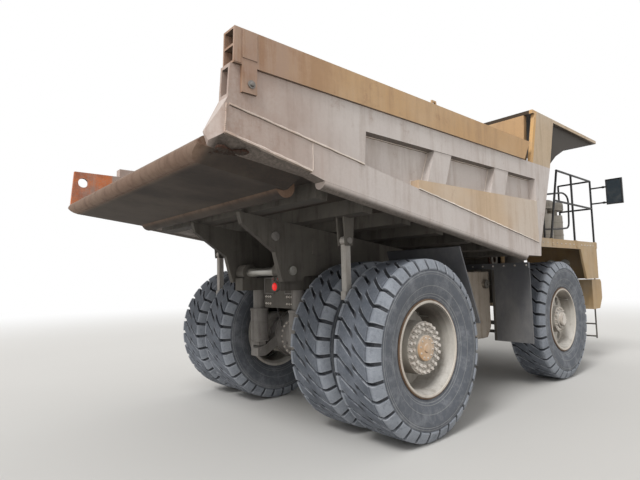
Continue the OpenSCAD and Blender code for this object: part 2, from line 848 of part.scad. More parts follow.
module knuckle_right() {
    mirror([0, 1, 0]) knuckle();
}

module tie_rod() {
    color("dimgray") placed() difference() {
        union() {
            rod_y([front_x - arm_len, 815], 30, -kingpin_y, kingpin_y);
            both_sides() rod_z([front_x - arm_len, kingpin_y], 50, 780, 850);
        }
        both_sides() rod_z([front_x - arm_len, kingpin_y], 25 + pin_gap, 700, 900);
    }
}

// drawn along +X from the frame's pivot, then turned towards the arm's eye
module steer_frame(side) {
    placed() on_side(side) translate([steer_pivot[0], steer_pivot[1], steer_z]) rotate([0, 0, steer_angle]) children();
}

module steer_barrel() {
    difference() {
        union() {
            rod_x([0, 0], 40, 40, 545);
            translate([0, 0, -35]) cylinder(r = 50, h = 70);
        }
        rod_x([0, 0], 22 + pin_gap, 70, 600);
        translate([0, 0, -50]) cylinder(r = 25 + pin_gap, h = 100);
    }
}

module steer_barrel_left() {
    color("dimgray") steer_frame(1) steer_barrel();
}

module steer_barrel_right() {
    color("dimgray") steer_frame(-1) steer_barrel();
}

// its pin rides in the eye, just above the knuckle's arm
module steer_rod() {
    difference() {
        union() {
            rod_x([0, 0], 22, 300, steer_len);
            translate([steer_len, 0, -35]) cylinder(r = 45, h = 70);
            translate([steer_len, 0, -40]) cylinder(r = 25, h = 85);
        }
        translate([steer_len, 0, 38]) cylinder(r = 10, h = 20);
    }
}

module steer_rod_left() {
    color("silver") steer_frame(1) steer_rod();
}

module steer_rod_right() {
    color("silver") steer_frame(-1) steer_rod();
}

// wheels, each a profile turned about the axle

// turns a [y, radius] profile about the axle at the place x
module turned(x, y) {
    placed() translate([x, y, hub_z]) rotate([-90, 0, 0]) rotate_extrude() children();
}

// one tyre's section below the lugs, as [radius, y]
module tyre_section() {
    half = tyre_w / 2;
    side = [[rim_r, 235], [rim_r + 16, 235], [600, 270], [700, half - 8], [820, half - 2], [900, half - 6], [tyre_r - 125, half - 18],
        [tyre_r - lug_h, half - 70]];
    polygon(concat(side, [for (i = [len(side) - 1 : -1 : 0]) [side[i][0], -side[i][1]]]));
}

// lugs of one half of the tread: a star of straight teeth cut to the tread's section
module tyre_lugs(phase) {
    half = tyre_w / 2;
    pitch = 360 / lug_count;
    outside = tyre_r + 20;
    root = tyre_r - 150;
    star = [for (i = [0 : lug_count - 1]) for (c = [[-0.38, root], [-0.38, outside], [0.38, outside], [0.38, root]])
        [c[1] * cos((i + phase + c[0]) * pitch), c[1] * sin((i + phase + c[0]) * pitch)]];
    intersection() {
        rotate_extrude() polygon([[tyre_r - lug_h - 20, -12], [tyre_r, -12], [tyre_r, half - 70], [tyre_r - 64, half - 22],
            [tyre_r - 118, half], [tyre_r - 136, half - 30], [tyre_r - lug_h - 20, half - 90]]);
        translate([0, 0, -20]) linear_extrude(half + 40) polygon(star);
    }
}

// a whole tyre, its two rows of lugs staggered by half a pitch
module tyre(x, y) {
    placed() translate([x, y, hub_z]) rotate([-90, 0, 0]) {
        rotate_extrude() tyre_section();
        tyre_lugs(0.25);
        mirror([0, 0, 1]) tyre_lugs(0.75);
    }
}

// one rim's barrel with its two flanges, as [radius, y]
module rim_section() {
    polygon([[rim_r + 15, -255], [rim_r + 15, -236], [rim_r - 0.3, -236], [rim_r - 0.3, 236], [rim_r + 15, 236],
        [rim_r + 15, 255], [rim_r - 20, 255], [rim_r - 45, 200], [rim_r - 60, 120], [rim_r - 60, -200], [rim_r - 20, -255]]);
}

module front_tyre() {
    color("black") tyre(front_x, front_tyre_y);
}

module front_tyre_left() {
    front_tyre();
}

module front_tyre_right() {
    mirror([0, 1, 0]) front_tyre();
}

module front_rim() {
    color("tan") difference() {
        union() {
            turned(front_x, front_tyre_y) rim_section();
            // disc and hub
            turned(front_x, front_tyre_y) polygon([[0, 100], [0, 220], [150, 220], [165, 190], [230, 190], [240, 90],
                [rim_r - 58, 60], [rim_r - 58, 20], [200, 20], [200, -150], [110 + hub_gap, -150], [110 + hub_gap, 100]]);
        }
        placed() for (i = [0 : 5]) {
            translate([front_x, 0, hub_z]) rotate([0, 30 + i * 60, 0]) translate([0, 0, 365]) rod_y([0, 0], 75, front_tyre_y - 10, front_tyre_y + 150);
        }
    }
}

module front_rim_left() {
    front_rim();
}

module front_rim_right() {
    mirror([0, 1, 0]) front_rim();
}

module rear_tyres() {
    color("black") for (y = [rear_outer_y, rear_inner_y]) {
        tyre(0, y);
    }
}

module rear_tyres_left() {
    rear_tyres();
}

module rear_tyres_right() {
    mirror([0, 1, 0]) rear_tyres();
}

module rear_rim() {
    color("tan") union() {
        for (y = [rear_outer_y, rear_inner_y]) {
            turned(0, y) rim_section();
        }
        // spacer band between the rims
        turned(0, 1500) polygon([[rim_r - 40, -140], [rim_r - 10, -140], [rim_r - 10, 140], [rim_r - 40, 140]]);
        // final drive drum with a disc out to the outer rim
        turned(0, 0) polygon([[180 + hub_gap, 760], [320, 760], [320, 1700], [rim_r - 58, 1700], [rim_r - 58, 1760],
            [320, 1760], [310, 2060], [160, 2060], [150, 2090], [0, 2090], [0, 1960], [180 + hub_gap, 1960]]);
    }
}

module rear_rim_left() {
    rear_rim();
}

module rear_rim_right() {
    mirror([0, 1, 0]) rear_rim();
}

frame();
bed_pivot_pin();
bumper();
engine_block();
driveline();
rear_axle_housing();
suspension_struts();
fuel_tank();
hydraulic_tank();
hood();
radiator_grille();
decks();
fenders();
ladders();
handrails();
mirrors();
headlamps();
tail_lamps();
air_cleaners();
exhaust_pipe();
mud_flaps();
cab_shell();
cab_glass();
cab_console();
seat();
steering_wheel();
door_left();
door_glass();
bed_floor();
bed_wall_right();
bed_wall_left();
bed_gussets();
bed_front_wall();
bed_canopy();
sideboard_right();
bed_ribs();
bed_longerons();
rock_ejector_left();
rock_ejector_right();
hoist_barrel_left();
hoist_barrel_right();
hoist_stage_left();
hoist_stage_right();
hoist_rod_left();
hoist_rod_right();
knuckle_left();
knuckle_right();
tie_rod();
steer_barrel_left();
steer_barrel_right();
steer_rod_left();
steer_rod_right();
front_rim_left();
front_rim_right();
front_tyre_left();
front_tyre_right();
rear_rim_left();
rear_rim_right();
rear_tyres_left();
rear_tyres_right();
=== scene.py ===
# Looks of a mining dump truck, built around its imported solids
import json
import math
import bmesh
import bpy
import numpy as np
from mathutils import Matrix


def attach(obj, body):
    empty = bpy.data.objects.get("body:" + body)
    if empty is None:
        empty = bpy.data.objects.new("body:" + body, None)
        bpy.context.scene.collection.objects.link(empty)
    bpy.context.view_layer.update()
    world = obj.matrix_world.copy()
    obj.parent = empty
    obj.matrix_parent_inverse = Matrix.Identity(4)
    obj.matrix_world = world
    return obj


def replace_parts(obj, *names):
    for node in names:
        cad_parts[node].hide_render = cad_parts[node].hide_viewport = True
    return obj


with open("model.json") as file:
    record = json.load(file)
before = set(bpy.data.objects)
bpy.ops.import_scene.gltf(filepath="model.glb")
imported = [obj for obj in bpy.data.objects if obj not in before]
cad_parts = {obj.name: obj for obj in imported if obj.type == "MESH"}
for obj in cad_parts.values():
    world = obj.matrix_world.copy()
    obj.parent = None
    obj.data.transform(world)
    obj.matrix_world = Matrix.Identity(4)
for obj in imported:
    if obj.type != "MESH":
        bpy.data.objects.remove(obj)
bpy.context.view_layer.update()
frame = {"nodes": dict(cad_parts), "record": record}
nodes = frame["nodes"]
print("frame loaded:", len(nodes), "nodes")

# Camera, at the place and angle of the photograph

# heading and tilt point the camera, and roll then leans it about its own axis, in degrees
cameraSet = {"place": (-6.509, -5.434, 1.910), "heading": -41.559, "tilt": 94.755, "roll": -1.377,
             "lens": 25.965, "sensor": 36.0, "reach": 500.0}

eye = bpy.data.cameras.new("camera")
eye.lens, eye.sensor_width, eye.clip_end = (cameraSet[key] for key in ("lens", "sensor", "reach"))
camera = bpy.data.objects.new("camera", eye)
camera.location = cameraSet["place"]
turn = [Matrix.Rotation(math.radians(cameraSet[key]), 3, axis)
        for key, axis in (("heading", "Z"), ("tilt", "X"), ("roll", "Z"))]
camera.rotation_euler = (turn[0] @ turn[1] @ turn[2]).to_euler()
bpy.context.scene.collection.objects.link(camera)
bpy.context.scene.camera = camera
bpy.context.scene.view_settings.view_transform = "Standard"


# Shader maths: a socket that takes + - * and abs, and a material that adds nodes

class Sock:
    def __init__(self, shade, out):
        self.shade, self.out = shade, out

    def maths(self, operation, first, second):
        return self.shade.node("ShaderNodeMath", {"operation": operation}, {0: first, 1: second})

    def __add__(self, other):
        return self.maths("ADD", self, other)

    def __sub__(self, other):
        return self.maths("SUBTRACT", self, other)

    def __rsub__(self, other):
        return self.maths("SUBTRACT", other, self)

    def __mul__(self, other):
        return self.maths("MULTIPLY", self, other)

    def __abs__(self):
        return self.shade.node("ShaderNodeMath", {"operation": "ABSOLUTE"}, {0: self})

    __radd__ = __add__
    __rmul__ = __mul__


class Shade:
    def __init__(self, name, world=None):
        self.material = world or bpy.data.materials.new(name)
        self.material.use_nodes = True
        self.tree = self.material.node_tree
        self.tree.nodes.clear()

    def node(self, kind, settings=None, values=None, output=0):
        made = self.tree.nodes.new(kind)
        for key, value in (settings or {}).items():
            setattr(made, key, value)
        for key, value in (values or {}).items():
            if isinstance(value, Sock):
                self.tree.links.new(value.out, made.inputs[key])
            else:
                made.inputs[key].default_value = value
        return Sock(self, made.outputs[output]) if made.outputs else made

    def place(self, stretch=(1, 1, 1)):  # object coordinates in metres, stretched
        here = self.node("ShaderNodeTexCoord", output="Object")
        return self.node("ShaderNodeVectorMath", {"operation": "MULTIPLY"}, {0: here, 1: stretch})

    def axis(self, index):  # x, y or z in metres
        return self.node("ShaderNodeSeparateXYZ", values={0: self.place()}, output=index)

    def facing(self, index):  # x, y or z of the surface's normal
        normal = self.node("ShaderNodeNewGeometry", output="Normal")
        return self.node("ShaderNodeSeparateXYZ", values={0: normal}, output=index)

    def noise(self, scale, detail=3.0, rough=0.55, stretch=(1, 1, 1)):
        values = {"Vector": self.place(stretch), "Scale": scale, "Detail": detail, "Roughness": rough}
        return self.node("ShaderNodeTexNoise", {"noise_dimensions": "3D"}, values)

    def band(self, value, low, high):  # 0 at low, 1 at high, smooth between
        return self.node("ShaderNodeMapRange", {"interpolation_type": "SMOOTHSTEP"},
                         {"Value": value, "From Min": low, "From Max": high})

    def mix(self, factor, first, second):  # between two colours
        return self.node("ShaderNodeMix", {"data_type": "RGBA"}, {0: factor, 6: first, 7: second}, 2)

    def attribute(self, name):
        return self.node("ShaderNodeAttribute", {"attribute_name": name}, output="Fac")

    def finish(self, colour, rough, metal=0.0, height=None, strength=0.35, depth=0.006, **extra):
        values = {"Base Color": colour, "Roughness": rough, "Metallic": metal, **extra}
        if height is not None:
            bump = {"Strength": strength, "Distance": depth, "Height": height}
            values["Normal"] = self.node("ShaderNodeBump", values=bump)
        surface = self.node("ShaderNodeBsdfPrincipled", values=values)
        self.node("ShaderNodeOutputMaterial", values={"Surface": surface})
        return self.material


def tone(red, green, blue):  # a screen colour, 0 to 255, as a linear one
    return tuple((c / 255) ** 2.2 for c in (red, green, blue)) + (1.0,)


# Finishes: base colour, lighter dust, darker stain, rust, painted shade tone of faces that look down, then how
# much dust, stain and rust there is, the roughness, and what only some pieces have

def paint(base, dust, stain, rust, underShade, dusty, stained, rusty, rough, **more):
    colours = dict(base=base, dust=dust, stain=stain, rust=rust, underShade=underShade)
    tones = {key: tone(*value) for key, value in colours.items()}
    return dict(tones, dusty=dusty, stained=stained, rusty=rusty, rough=rough, **more)


bedWall = paint((209, 200, 195), (225, 219, 214), (176, 161, 151), (146, 104, 80), (72, 66, 60),
                0.6, 0.7, 0.4, 0.72, tail=0.75)
paintSet = {
    "bed_paint": paint((116, 93, 77), (144, 126, 110), (86, 68, 56), (92, 58, 40), (32, 30, 28),
                       0.5, 0.8, 0.7, 0.85, tail=0.15),
    "bed_wall": bedWall,
    "bed_left": dict(bedWall, plate=1.0),
    "board_paint": paint((198, 160, 116), (208, 186, 158), (164, 130, 100), (138, 92, 64), (70, 58, 48),
                         0.45, 0.6, 0.35, 0.66, tail=1.0),
    "ochre_paint": paint((208, 182, 152), (220, 208, 194), (178, 150, 122), (148, 104, 76), (100, 86, 70),
                         0.6, 0.55, 0.3, 0.66, fade=0.75),
    # painted shade: the canopy's faces that look down are near-black
    "canopy_paint": paint((200, 178, 150), (214, 202, 188), (160, 136, 110), (130, 92, 66), (20, 20, 24),
                          0.5, 0.5, 0.3, 0.66, canopy=1.0),
    "yellow_paint": paint((186, 156, 114), (198, 188, 172), (150, 122, 92), (126, 84, 58), (84, 74, 62),
                          0.65, 0.55, 0.3, 0.62),
    "dark_steel": paint((96, 92, 86), (134, 128, 120), (62, 58, 54), (88, 62, 46), (60, 56, 52),
                        0.6, 0.8, 0.4, 0.8),
    "cast_steel": paint((134, 130, 126), (168, 163, 157), (84, 78, 72), (104, 76, 56), (78, 74, 70),
                        0.6, 0.7, 0.35, 0.8),
    "tank_paint": paint((150, 140, 128), (178, 170, 160), (108, 90, 74), (112, 68, 44), (84, 78, 72),
                        0.55, 0.9, 0.8, 0.76),
    "rim_paint": paint((196, 191, 182), (214, 210, 204), (144, 134, 122), (122, 88, 64), (150, 142, 132),
                       0.55, 0.7, 0.4, 0.7),
    "hub_bolt": paint((226, 219, 210), (236, 231, 224), (160, 143, 126), (118, 84, 60), (140, 130, 120),
                      0.5, 0.7, 0.3, 0.7),
    "hub_cover": paint((214, 172, 128), (220, 206, 190), (180, 150, 122), (140, 100, 74), (150, 120, 92),
                       1.0, 0.8, 0.5, 0.7),
    "lock_ring": paint((120, 96, 76), (150, 130, 112), (84, 64, 50), (100, 66, 44), (84, 68, 56),
                       0.4, 0.7, 0.8, 0.8),
    "rim_edge": paint((214, 206, 194), (224, 218, 210), (170, 156, 140), (140, 104, 78), (170, 160, 148),
                      0.4, 0.5, 0.3, 0.6),
    # painted highlight: the beads are brighter than the wall, as where their rounded tops catch the light
    "weld": paint((238, 228, 218), (244, 238, 232), (206, 180, 160), (150, 104, 78), (104, 92, 80),
                  0.5, 0.5, 0.4, 0.6, tail=0.5),
    "crust": paint((60, 38, 28), (104, 76, 58), (44, 30, 24), (92, 54, 34), (40, 30, 26),
                   0.3, 0.8, 0.8, 0.95),
    "pipe": paint((84, 82, 80), (126, 120, 114), (56, 52, 50), (86, 60, 46), (58, 54, 52),
                  0.5, 0.6, 0.3, 0.6),
    "ejector": paint((186, 182, 176), (206, 202, 198), (140, 126, 114), (134, 88, 62), (120, 112, 104),
                     0.5, 0.6, 0.5, 0.7),
    "cleaner": paint((178, 172, 162), (204, 198, 190), (128, 116, 104), (110, 80, 60), (104, 98, 90),
                     0.55, 0.6, 0.2, 0.6),
}
# where the bed's paint and painted shade change, as the start and end of each change along an axis, in metres
paintEdges = {"redTail": (-2.9, -4.6), "pale": (0.0, 1.3), "plateEnd": (-4.18, -4.22),
              "plateFoot": (3.03, 3.06), "rimLean": 0.2913, "rim": (-0.04, 0.0), "inside": (2.146, 2.141),
              "gussetFront": (1.985, 1.995), "gussetTop": (4.575, 4.565), "lip": (-4.80, -4.66)}


def dustyPaint(name, base, dust, stain, rust, underShade, dusty, stained, rusty, rough,
               tail=0, plate=0, fade=0, canopy=0):
    # dust, stain and rust lie over the base where a band of noise is high, dust more so where a face looks up
    s = Shade(name)
    edges = paintEdges
    clouds = s.noise(0.9, 4.0, 0.6)  # broad patches
    grain = s.noise(38.0, 4.0, 0.7)  # fine speckle
    runs = s.noise(2.2, 4.0, 0.65, stretch=(3.6, 3.6, 0.3))  # stains that run downwards
    blots = s.noise(4.2, 5.0, 0.7)
    x, y, z = (s.axis(i) for i in range(3))
    up, downShade = s.band(s.facing("Z"), 0.2, 0.9), s.band(s.facing("Z"), -0.1, -0.8)
    speck = 0.2
    if tail:  # red-brown towards the tail, in streaks
        near = s.band(x + runs * 1.6 - 0.8, *edges["redTail"])
        base = s.mix(near * tail, base, tone(168, 140, 124))
        base = s.mix(near * s.band(runs + blots * 0.5, 0.68, 0.95) * tail, base, tone(142, 100, 78))
    if fade:  # paint worn to pale towards the front
        base = s.mix(s.band(x + clouds * 1.2, *edges["pale"]) * fade, base, tone(212, 202, 192))
    if plate:  # orange tail plate of the left wall
        behind = s.band(x, *edges["plateEnd"]) * s.band(z, *edges["plateFoot"])
        orange = s.mix(s.band(blots, 0.4, 0.65), tone(226, 126, 66), tone(176, 92, 50))
        base = s.mix(behind * plate, base, orange)
    if canopy:  # ochre strip along the rear edge
        strip = s.band(x - z * edges["rimLean"], *edges["rim"])
        base = s.mix(strip, tone(216, 170, 110), base)
    dustMask = s.band(clouds + grain * 0.35 + up * 0.45, 0.55, 1.0) * dusty
    stainMask = s.band(runs + blots * 0.4, 0.62, 1.0) * stained
    rustMask = s.band(blots + clouds * 0.5 + grain * 0.2, 0.98, 1.16) * rusty
    if canopy:  # painted shade: near-black and clean inside the canopy and on its gusset
        inside = s.band(abs(y), *edges["inside"]) * (1.0 - up)
        gusset = s.band(x, *edges["gussetFront"]) * s.band(z, *edges["gussetTop"])
        inside = s.band(inside + gusset, 0.0, 1.0)
        base = s.mix(inside * 0.93, base, tone(16, 16, 20))
        outside = 1.0 - inside
        dustMask, stainMask, rustMask = dustMask * outside, stainMask * outside, rustMask * outside
        speck = outside * speck
    colour = s.mix(stainMask, s.mix(dustMask, base, dust), stain)
    colour = s.mix(rustMask, colour, rust)
    if tail:  # painted shade on faces that look down is left off the lip, which stays brown where it turns under
        downShade = downShade * s.band(x, *edges["lip"])
    # painted shade: faces that look down turn to the darker under tone
    colour = s.mix(downShade * 0.94, colour, s.mix(s.band(clouds, 0.35, 0.65), underShade, tone(66, 60, 54)))
    colour = s.mix(s.band(grain, 0.35, 0.7) * speck, colour, stain)
    height = grain * 0.5 + s.noise(7.0, 3.0) * 0.8 + rustMask * 0.6
    roughness = rustMask * 0.15 + (rough - 0.04) + grain * 0.1
    return s.finish(colour, roughness, height=height, strength=0.3)


def bareSteel(name):  # worn rods and pins with a film of dust
    s = Shade(name)
    lines = s.noise(9.0, 3.0, 0.6, stretch=(8, 8, 1))
    film = s.band(s.noise(3.0, 4.0, 0.65), 0.42, 0.75)
    colour = s.mix(film * 0.8, tone(168, 166, 160), tone(122, 114, 104))
    rough, metal = film * 0.4 + 0.3, 0.8 - film * 0.7
    return s.finish(colour, rough, metal, height=lines, strength=0.12, depth=0.002)


def blackPaint(name):  # handrails and mirror frames
    s = Shade(name)
    dust = s.band(s.noise(5.0, 4.0, 0.65) + s.facing("Z") * 0.2, 0.5, 0.85)
    colour = s.mix(dust * 0.4, tone(30, 30, 32), tone(96, 90, 84))
    return s.finish(colour, dust * 0.35 + 0.38, height=s.noise(60.0, 2.0), strength=0.15, depth=0.002)


def flapRubber(name):  # rubber sheet, dusty from below
    s = Shade(name)
    low = s.band(s.axis("Z"), 2.2, 0.8)
    dust = s.band(s.noise(2.2, 5.0, 0.65, stretch=(1, 1, 0.5)) + low * 0.25, 0.42, 0.9)
    colour = s.mix(dust * 0.85, tone(92, 93, 97), tone(134, 132, 130))
    return s.finish(colour, dust * 0.2 + 0.68, height=s.noise(26.0, 4.0), strength=0.3, depth=0.004)


def plainTrim(name, base, worn, rough):  # moulded plastic of the cab
    s = Shade(name)
    wear = s.band(s.noise(4.0, 4.0, 0.6), 0.45, 0.8)
    colour = s.mix(wear * 0.6, base, worn)
    return s.finish(colour, wear * 0.2 + rough, height=s.noise(220.0, 2.0), strength=0.2, depth=0.001)


def seatFabric(name):  # fine rib weave
    s = Shade(name)
    weave = s.node("ShaderNodeTexWave", {"wave_type": "BANDS", "bands_direction": "DIAGONAL"},
                   {"Vector": s.place(), "Scale": 90.0, "Distortion": 1.5}, output="Fac")
    fade = s.band(s.noise(5.0, 3.0), 0.4, 0.75)
    colour = s.mix(fade * 0.6, tone(38, 38, 42), tone(74, 72, 72))
    return s.finish(colour, 0.92, height=weave, strength=0.3, depth=0.0015, **{"Sheen Weight": 0.25})


def clearGlass(name):
    s = Shade(name)
    film = s.band(s.noise(2.5, 4.0, 0.65), 0.4, 0.8)
    colour = s.mix(film, tone(170, 184, 188), tone(172, 166, 156))
    return s.finish(colour, film * 0.3 + 0.06, Alpha=film * 0.3 + 0.28)


def lampGlass(name, deep, pale, glow):  # moulded lens with fine flutes
    s = Shade(name)
    flutes = s.node("ShaderNodeTexWave", {"wave_type": "BANDS", "bands_direction": "Y"},
                    {"Vector": s.place(), "Scale": 22.0}, output="Fac")
    colour = s.mix(s.band(flutes, 0.3, 0.8) * 0.6, deep, pale)
    extra = {"Emission Color": colour, "Emission Strength": glow} if glow else {}
    return s.finish(colour, flutes * 0.1 + 0.15, height=flutes, strength=0.4, depth=0.003, **extra)


def tyreRubber(name):
    # lugTop is 1 on lugs and 0 in grooves, across is 0 at the tread's middle and 1 at the sidewall's bulge
    s = Shade(name)
    top, across = s.attribute("lugTop"), s.attribute("across")
    clouds, grain = s.noise(2.4, 4.0, 0.65), s.noise(46.0, 4.0, 0.7)
    dust = s.band(clouds + grain * 0.45, 0.5, 1.0)
    tread = s.mix(dust * 0.75, tone(82, 87, 95), tone(126, 131, 140))
    rubber = s.mix(s.band(across, 0.55, 0.8) * (dust * 0.5 + 0.5), tread, tone(156, 161, 169))
    streaks = s.band(s.noise(5.5, 5.0, 0.75), 0.42, 0.68)
    side = s.mix(streaks * 0.7, tone(96, 100, 107), tone(136, 139, 144))
    for ring in (0.612, 0.640, 0.735, 0.874, 0.900):  # moulded rings round the sidewall
        away = abs(s.attribute("radius") - ring)
        side = s.mix(s.band(away, 0.005, 0.0015) * 0.55, side, tone(164, 164, 162))
    rubber = s.mix(s.attribute("sidewall"), rubber, side)
    # painted shade: the grooves are near-black
    rubber = s.mix((1.0 - top) * 0.85, rubber, tone(40, 40, 43))
    # painted highlight: the lugs' edges are lighter
    worn = s.band(s.attribute("edge"), 0.45, 1.0) * s.band(s.noise(9.0, 4.0), 0.35, 0.6)
    rubber = s.mix(worn * 0.8, rubber, tone(176, 180, 186))
    scuffs = s.band(s.noise(14.0, 5.0, 0.75), 0.52, 0.7) * top
    rubber = s.mix(scuffs * 0.4, rubber, tone(84, 85, 90))
    height = grain * 0.7 + s.noise(11.0, 3.0) * 0.6
    return s.finish(rubber, dust * 0.12 + 0.72, height=height, strength=0.4)


finishes = {name: dustyPaint(name, **values) for name, values in paintSet.items()}
finishes.update({
    "rod_steel": bareSteel("rod_steel"),
    "black_tube": blackPaint("black_tube"),
    "rubber": flapRubber("rubber"),
    "cab_trim": plainTrim("cab_trim", tone(58, 58, 60), tone(92, 88, 84), 0.55),
    "seat_fabric": seatFabric("seat_fabric"),
    "glass": clearGlass("glass"),
    "lamp_lens": lampGlass("lamp_lens", tone(206, 208, 204), tone(236, 236, 232), 0.0),
    "red_lens": lampGlass("red_lens", tone(190, 18, 16), tone(230, 40, 36), 0.7),
    "tyre": tyreRubber("tyre"),
    "seal": plainTrim("seal", tone(40, 40, 42), tone(84, 80, 76), 0.7),
    "gauge": plainTrim("gauge", tone(206, 204, 190), tone(172, 164, 148), 0.2),
    "mirror_glass": plainTrim("mirror_glass", tone(58, 66, 72), tone(96, 98, 96), 0.05),
    "dark_red": lampGlass("dark_red", tone(96, 30, 24), tone(128, 52, 42), 0.0),
})
# nodes whose finish isn't the one that their slot is named after
dressed = {"bed_wall_left": "bed_left", "bed_wall_right": "bed_wall", "sideboard_right": "board_paint",
           "bed_canopy": "canopy_paint", "bed_front_wall": "board_paint", "suspension_struts": "cast_steel",
           "rear_axle_housing": "cast_steel", "rock_ejector_left": "ejector", "rock_ejector_right": "ejector",
           "air_cleaners": "cleaner"}

for part in frame["record"]["subparts"]:
    mesh = nodes[part["node"]].data
    mesh.materials.clear()
    mesh.materials.append(finishes[dressed.get(part["node"], part["material_slot"])])
print("finishes:", len(finishes))


# Mesh helpers: points are (n, 3) arrays and faces (m, 4) arrays of point numbers

def gridFaces(rows, columns, ringRows=False, ringColumns=False):
    # quads between neighbouring rows and columns of a grid that is numbered row by row
    lastRow, lastColumn = rows if ringRows else rows - 1, columns if ringColumns else columns - 1
    r, c = np.meshgrid(np.arange(lastRow), np.arange(lastColumn), indexing="ij")
    nextR, nextC = (r + 1) % rows, (c + 1) % columns
    corners = [r * columns + c, r * columns + nextC, nextR * columns + nextC, nextR * columns + c]
    return np.stack(corners, -1).reshape(-1, 4)


def outward(points, faces):
    # the sum of each face's corner volumes is negative where a closed shape is inside out
    a, b, c, d = (points[faces[:, i]] for i in range(4))
    volume = np.einsum("ij,ij->", a, np.cross(b, c)) + np.einsum("ij,ij->", a, np.cross(c, d))
    return faces[:, ::-1] if volume < 0 else faces


def joined(shapes):
    # puts (points, faces) pairs into one pair, each numbered after the last
    starts = np.cumsum([0] + [len(p) for p, f in shapes[:-1]])
    return np.vstack([p for p, f in shapes]), np.vstack([f + s for (p, f), s in zip(shapes, starts)])


def addPiece(name, shapes, slotName="dark_steel", body="chassis", finish=None, bevel=None, sharp=35.0,
             marks=None):
    # one object of several (points, faces) shapes; marks are values that its finish reads at each point
    points, faces = joined(shapes)
    mesh = bpy.data.meshes.new(name)
    mesh.from_pydata(points.tolist(), [], faces.tolist())
    if marks is None:  # rings of no size at poles become one point
        loose = bmesh.new()
        loose.from_mesh(mesh)
        bmesh.ops.remove_doubles(loose, verts=loose.verts, dist=0.00001)
        loose.to_mesh(mesh)
        loose.free()
    mesh.materials.append(finishes[finish or slotName])
    mesh.polygons.foreach_set("use_smooth", np.ones(len(mesh.polygons), bool))
    mesh.update()
    mesh.set_sharp_from_angle(angle=math.radians(sharp))
    for key, values in (marks or {}).items():
        made = mesh.attributes.new(key, "FLOAT", "POINT")
        made.data.foreach_set("value", np.ravel(values).astype(np.float32))
    piece = bpy.data.objects.new(name, mesh)
    bpy.context.scene.collection.objects.link(piece)
    if bevel:
        rounding = piece.modifiers.new("bevel", "BEVEL")
        rounding.width, rounding.segments, rounding.limit_method = bevel, 2, "ANGLE"
    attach(piece, body)
    return piece


def repeated(points, faces, turns, places):
    # each copy is the points times its 3x3 turn plus its place
    moved = np.einsum("kij,nj->kni", turns, points) + places[:, None, :]
    index = faces[None] + (np.arange(len(places)) * len(points))[:, None, None]
    return moved.reshape(-1, 3), index.reshape(-1, faces.shape[1])


def turned(profile, steps=48):
    # each [y, radius] of the profile goes round the Y axis
    profile = np.asarray(profile, float)
    angle = np.arange(steps) * 2 * math.pi / steps
    y, r = profile[:, :1], profile[:, 1:]
    points = np.stack([r * np.cos(angle), y + 0 * angle, r * np.sin(angle)], -1).reshape(-1, 3)
    return points, outward(points, gridFaces(len(profile), steps, ringColumns=True))


# Tyres: one closed grid each, 32 lugs round each half, staggered by half a pitch

# slant is how many pitches a groove climbs from the middle to where it runs straight across; the columns
# are evenly spread within the distance even of the middle, and stand at the lugs after the distance blend
tyreSet = {"lugs": 32, "slant": 0.85, "straight": 0.20, "even": 0.03, "blend": 0.05, "wallTop": 0.925,
           "bulge": 0.325}
# half of the section from bead to middle: [y, radius] on the lugs, then [y, radius] in the grooves
tyreHalf = np.array([
    [.231, .556, .231, .556], [.243, .575, .243, .575], [.264, .612, .264, .612], [.288, .668, .288, .668],
    [.308, .735, .308, .735], [.319, .80, .319, .80], [.3235, .862, .3235, .862], [.3205, .868, .3205, .868],
    [.3205, .875, .3205, .875], [.3235, .881, .3235, .881], [.3175, .908, .3175, .908],
    [.3105, .921, .3105, .921], [.3225, .930, .3080, .928], [.3245, .941, .3050, .936],
    [.3010, .996, .2920, .968], [.2745, 1.046, .2770, .991], [.2660, 1.0520, .2660, .9960],
    [.2430, 1.0548, .2430, .9990], [.2225, 1.0562, .2225, 1.0000], [.2190, 1.0462, .2190, 1.0002],
    [.2060, 1.0468, .2060, 1.0006], [.2025, 1.0570, .2025, 1.0010], [.1650, 1.0580, .1650, 1.0030],
    [.1250, 1.0590, .1250, 1.0065], [.0850, 1.0595, .0850, 1.0140], [.0520, 1.0598, .0520, 1.0300],
    [.0300, 1.0600, .0300, 1.0585], [.0, 1.06, .0, 1.06]])
# where each of a lug's columns stands in its pitch, and whether it is on the lug
lugColumn = np.array([0, .095, .19, .285, .38, .475, .57, .665, .76, .79, .88, .97])
lugTop = np.array([1, 1, 1, 1, 1, 1, 1, 1, 1, 0, 0, 0.0])


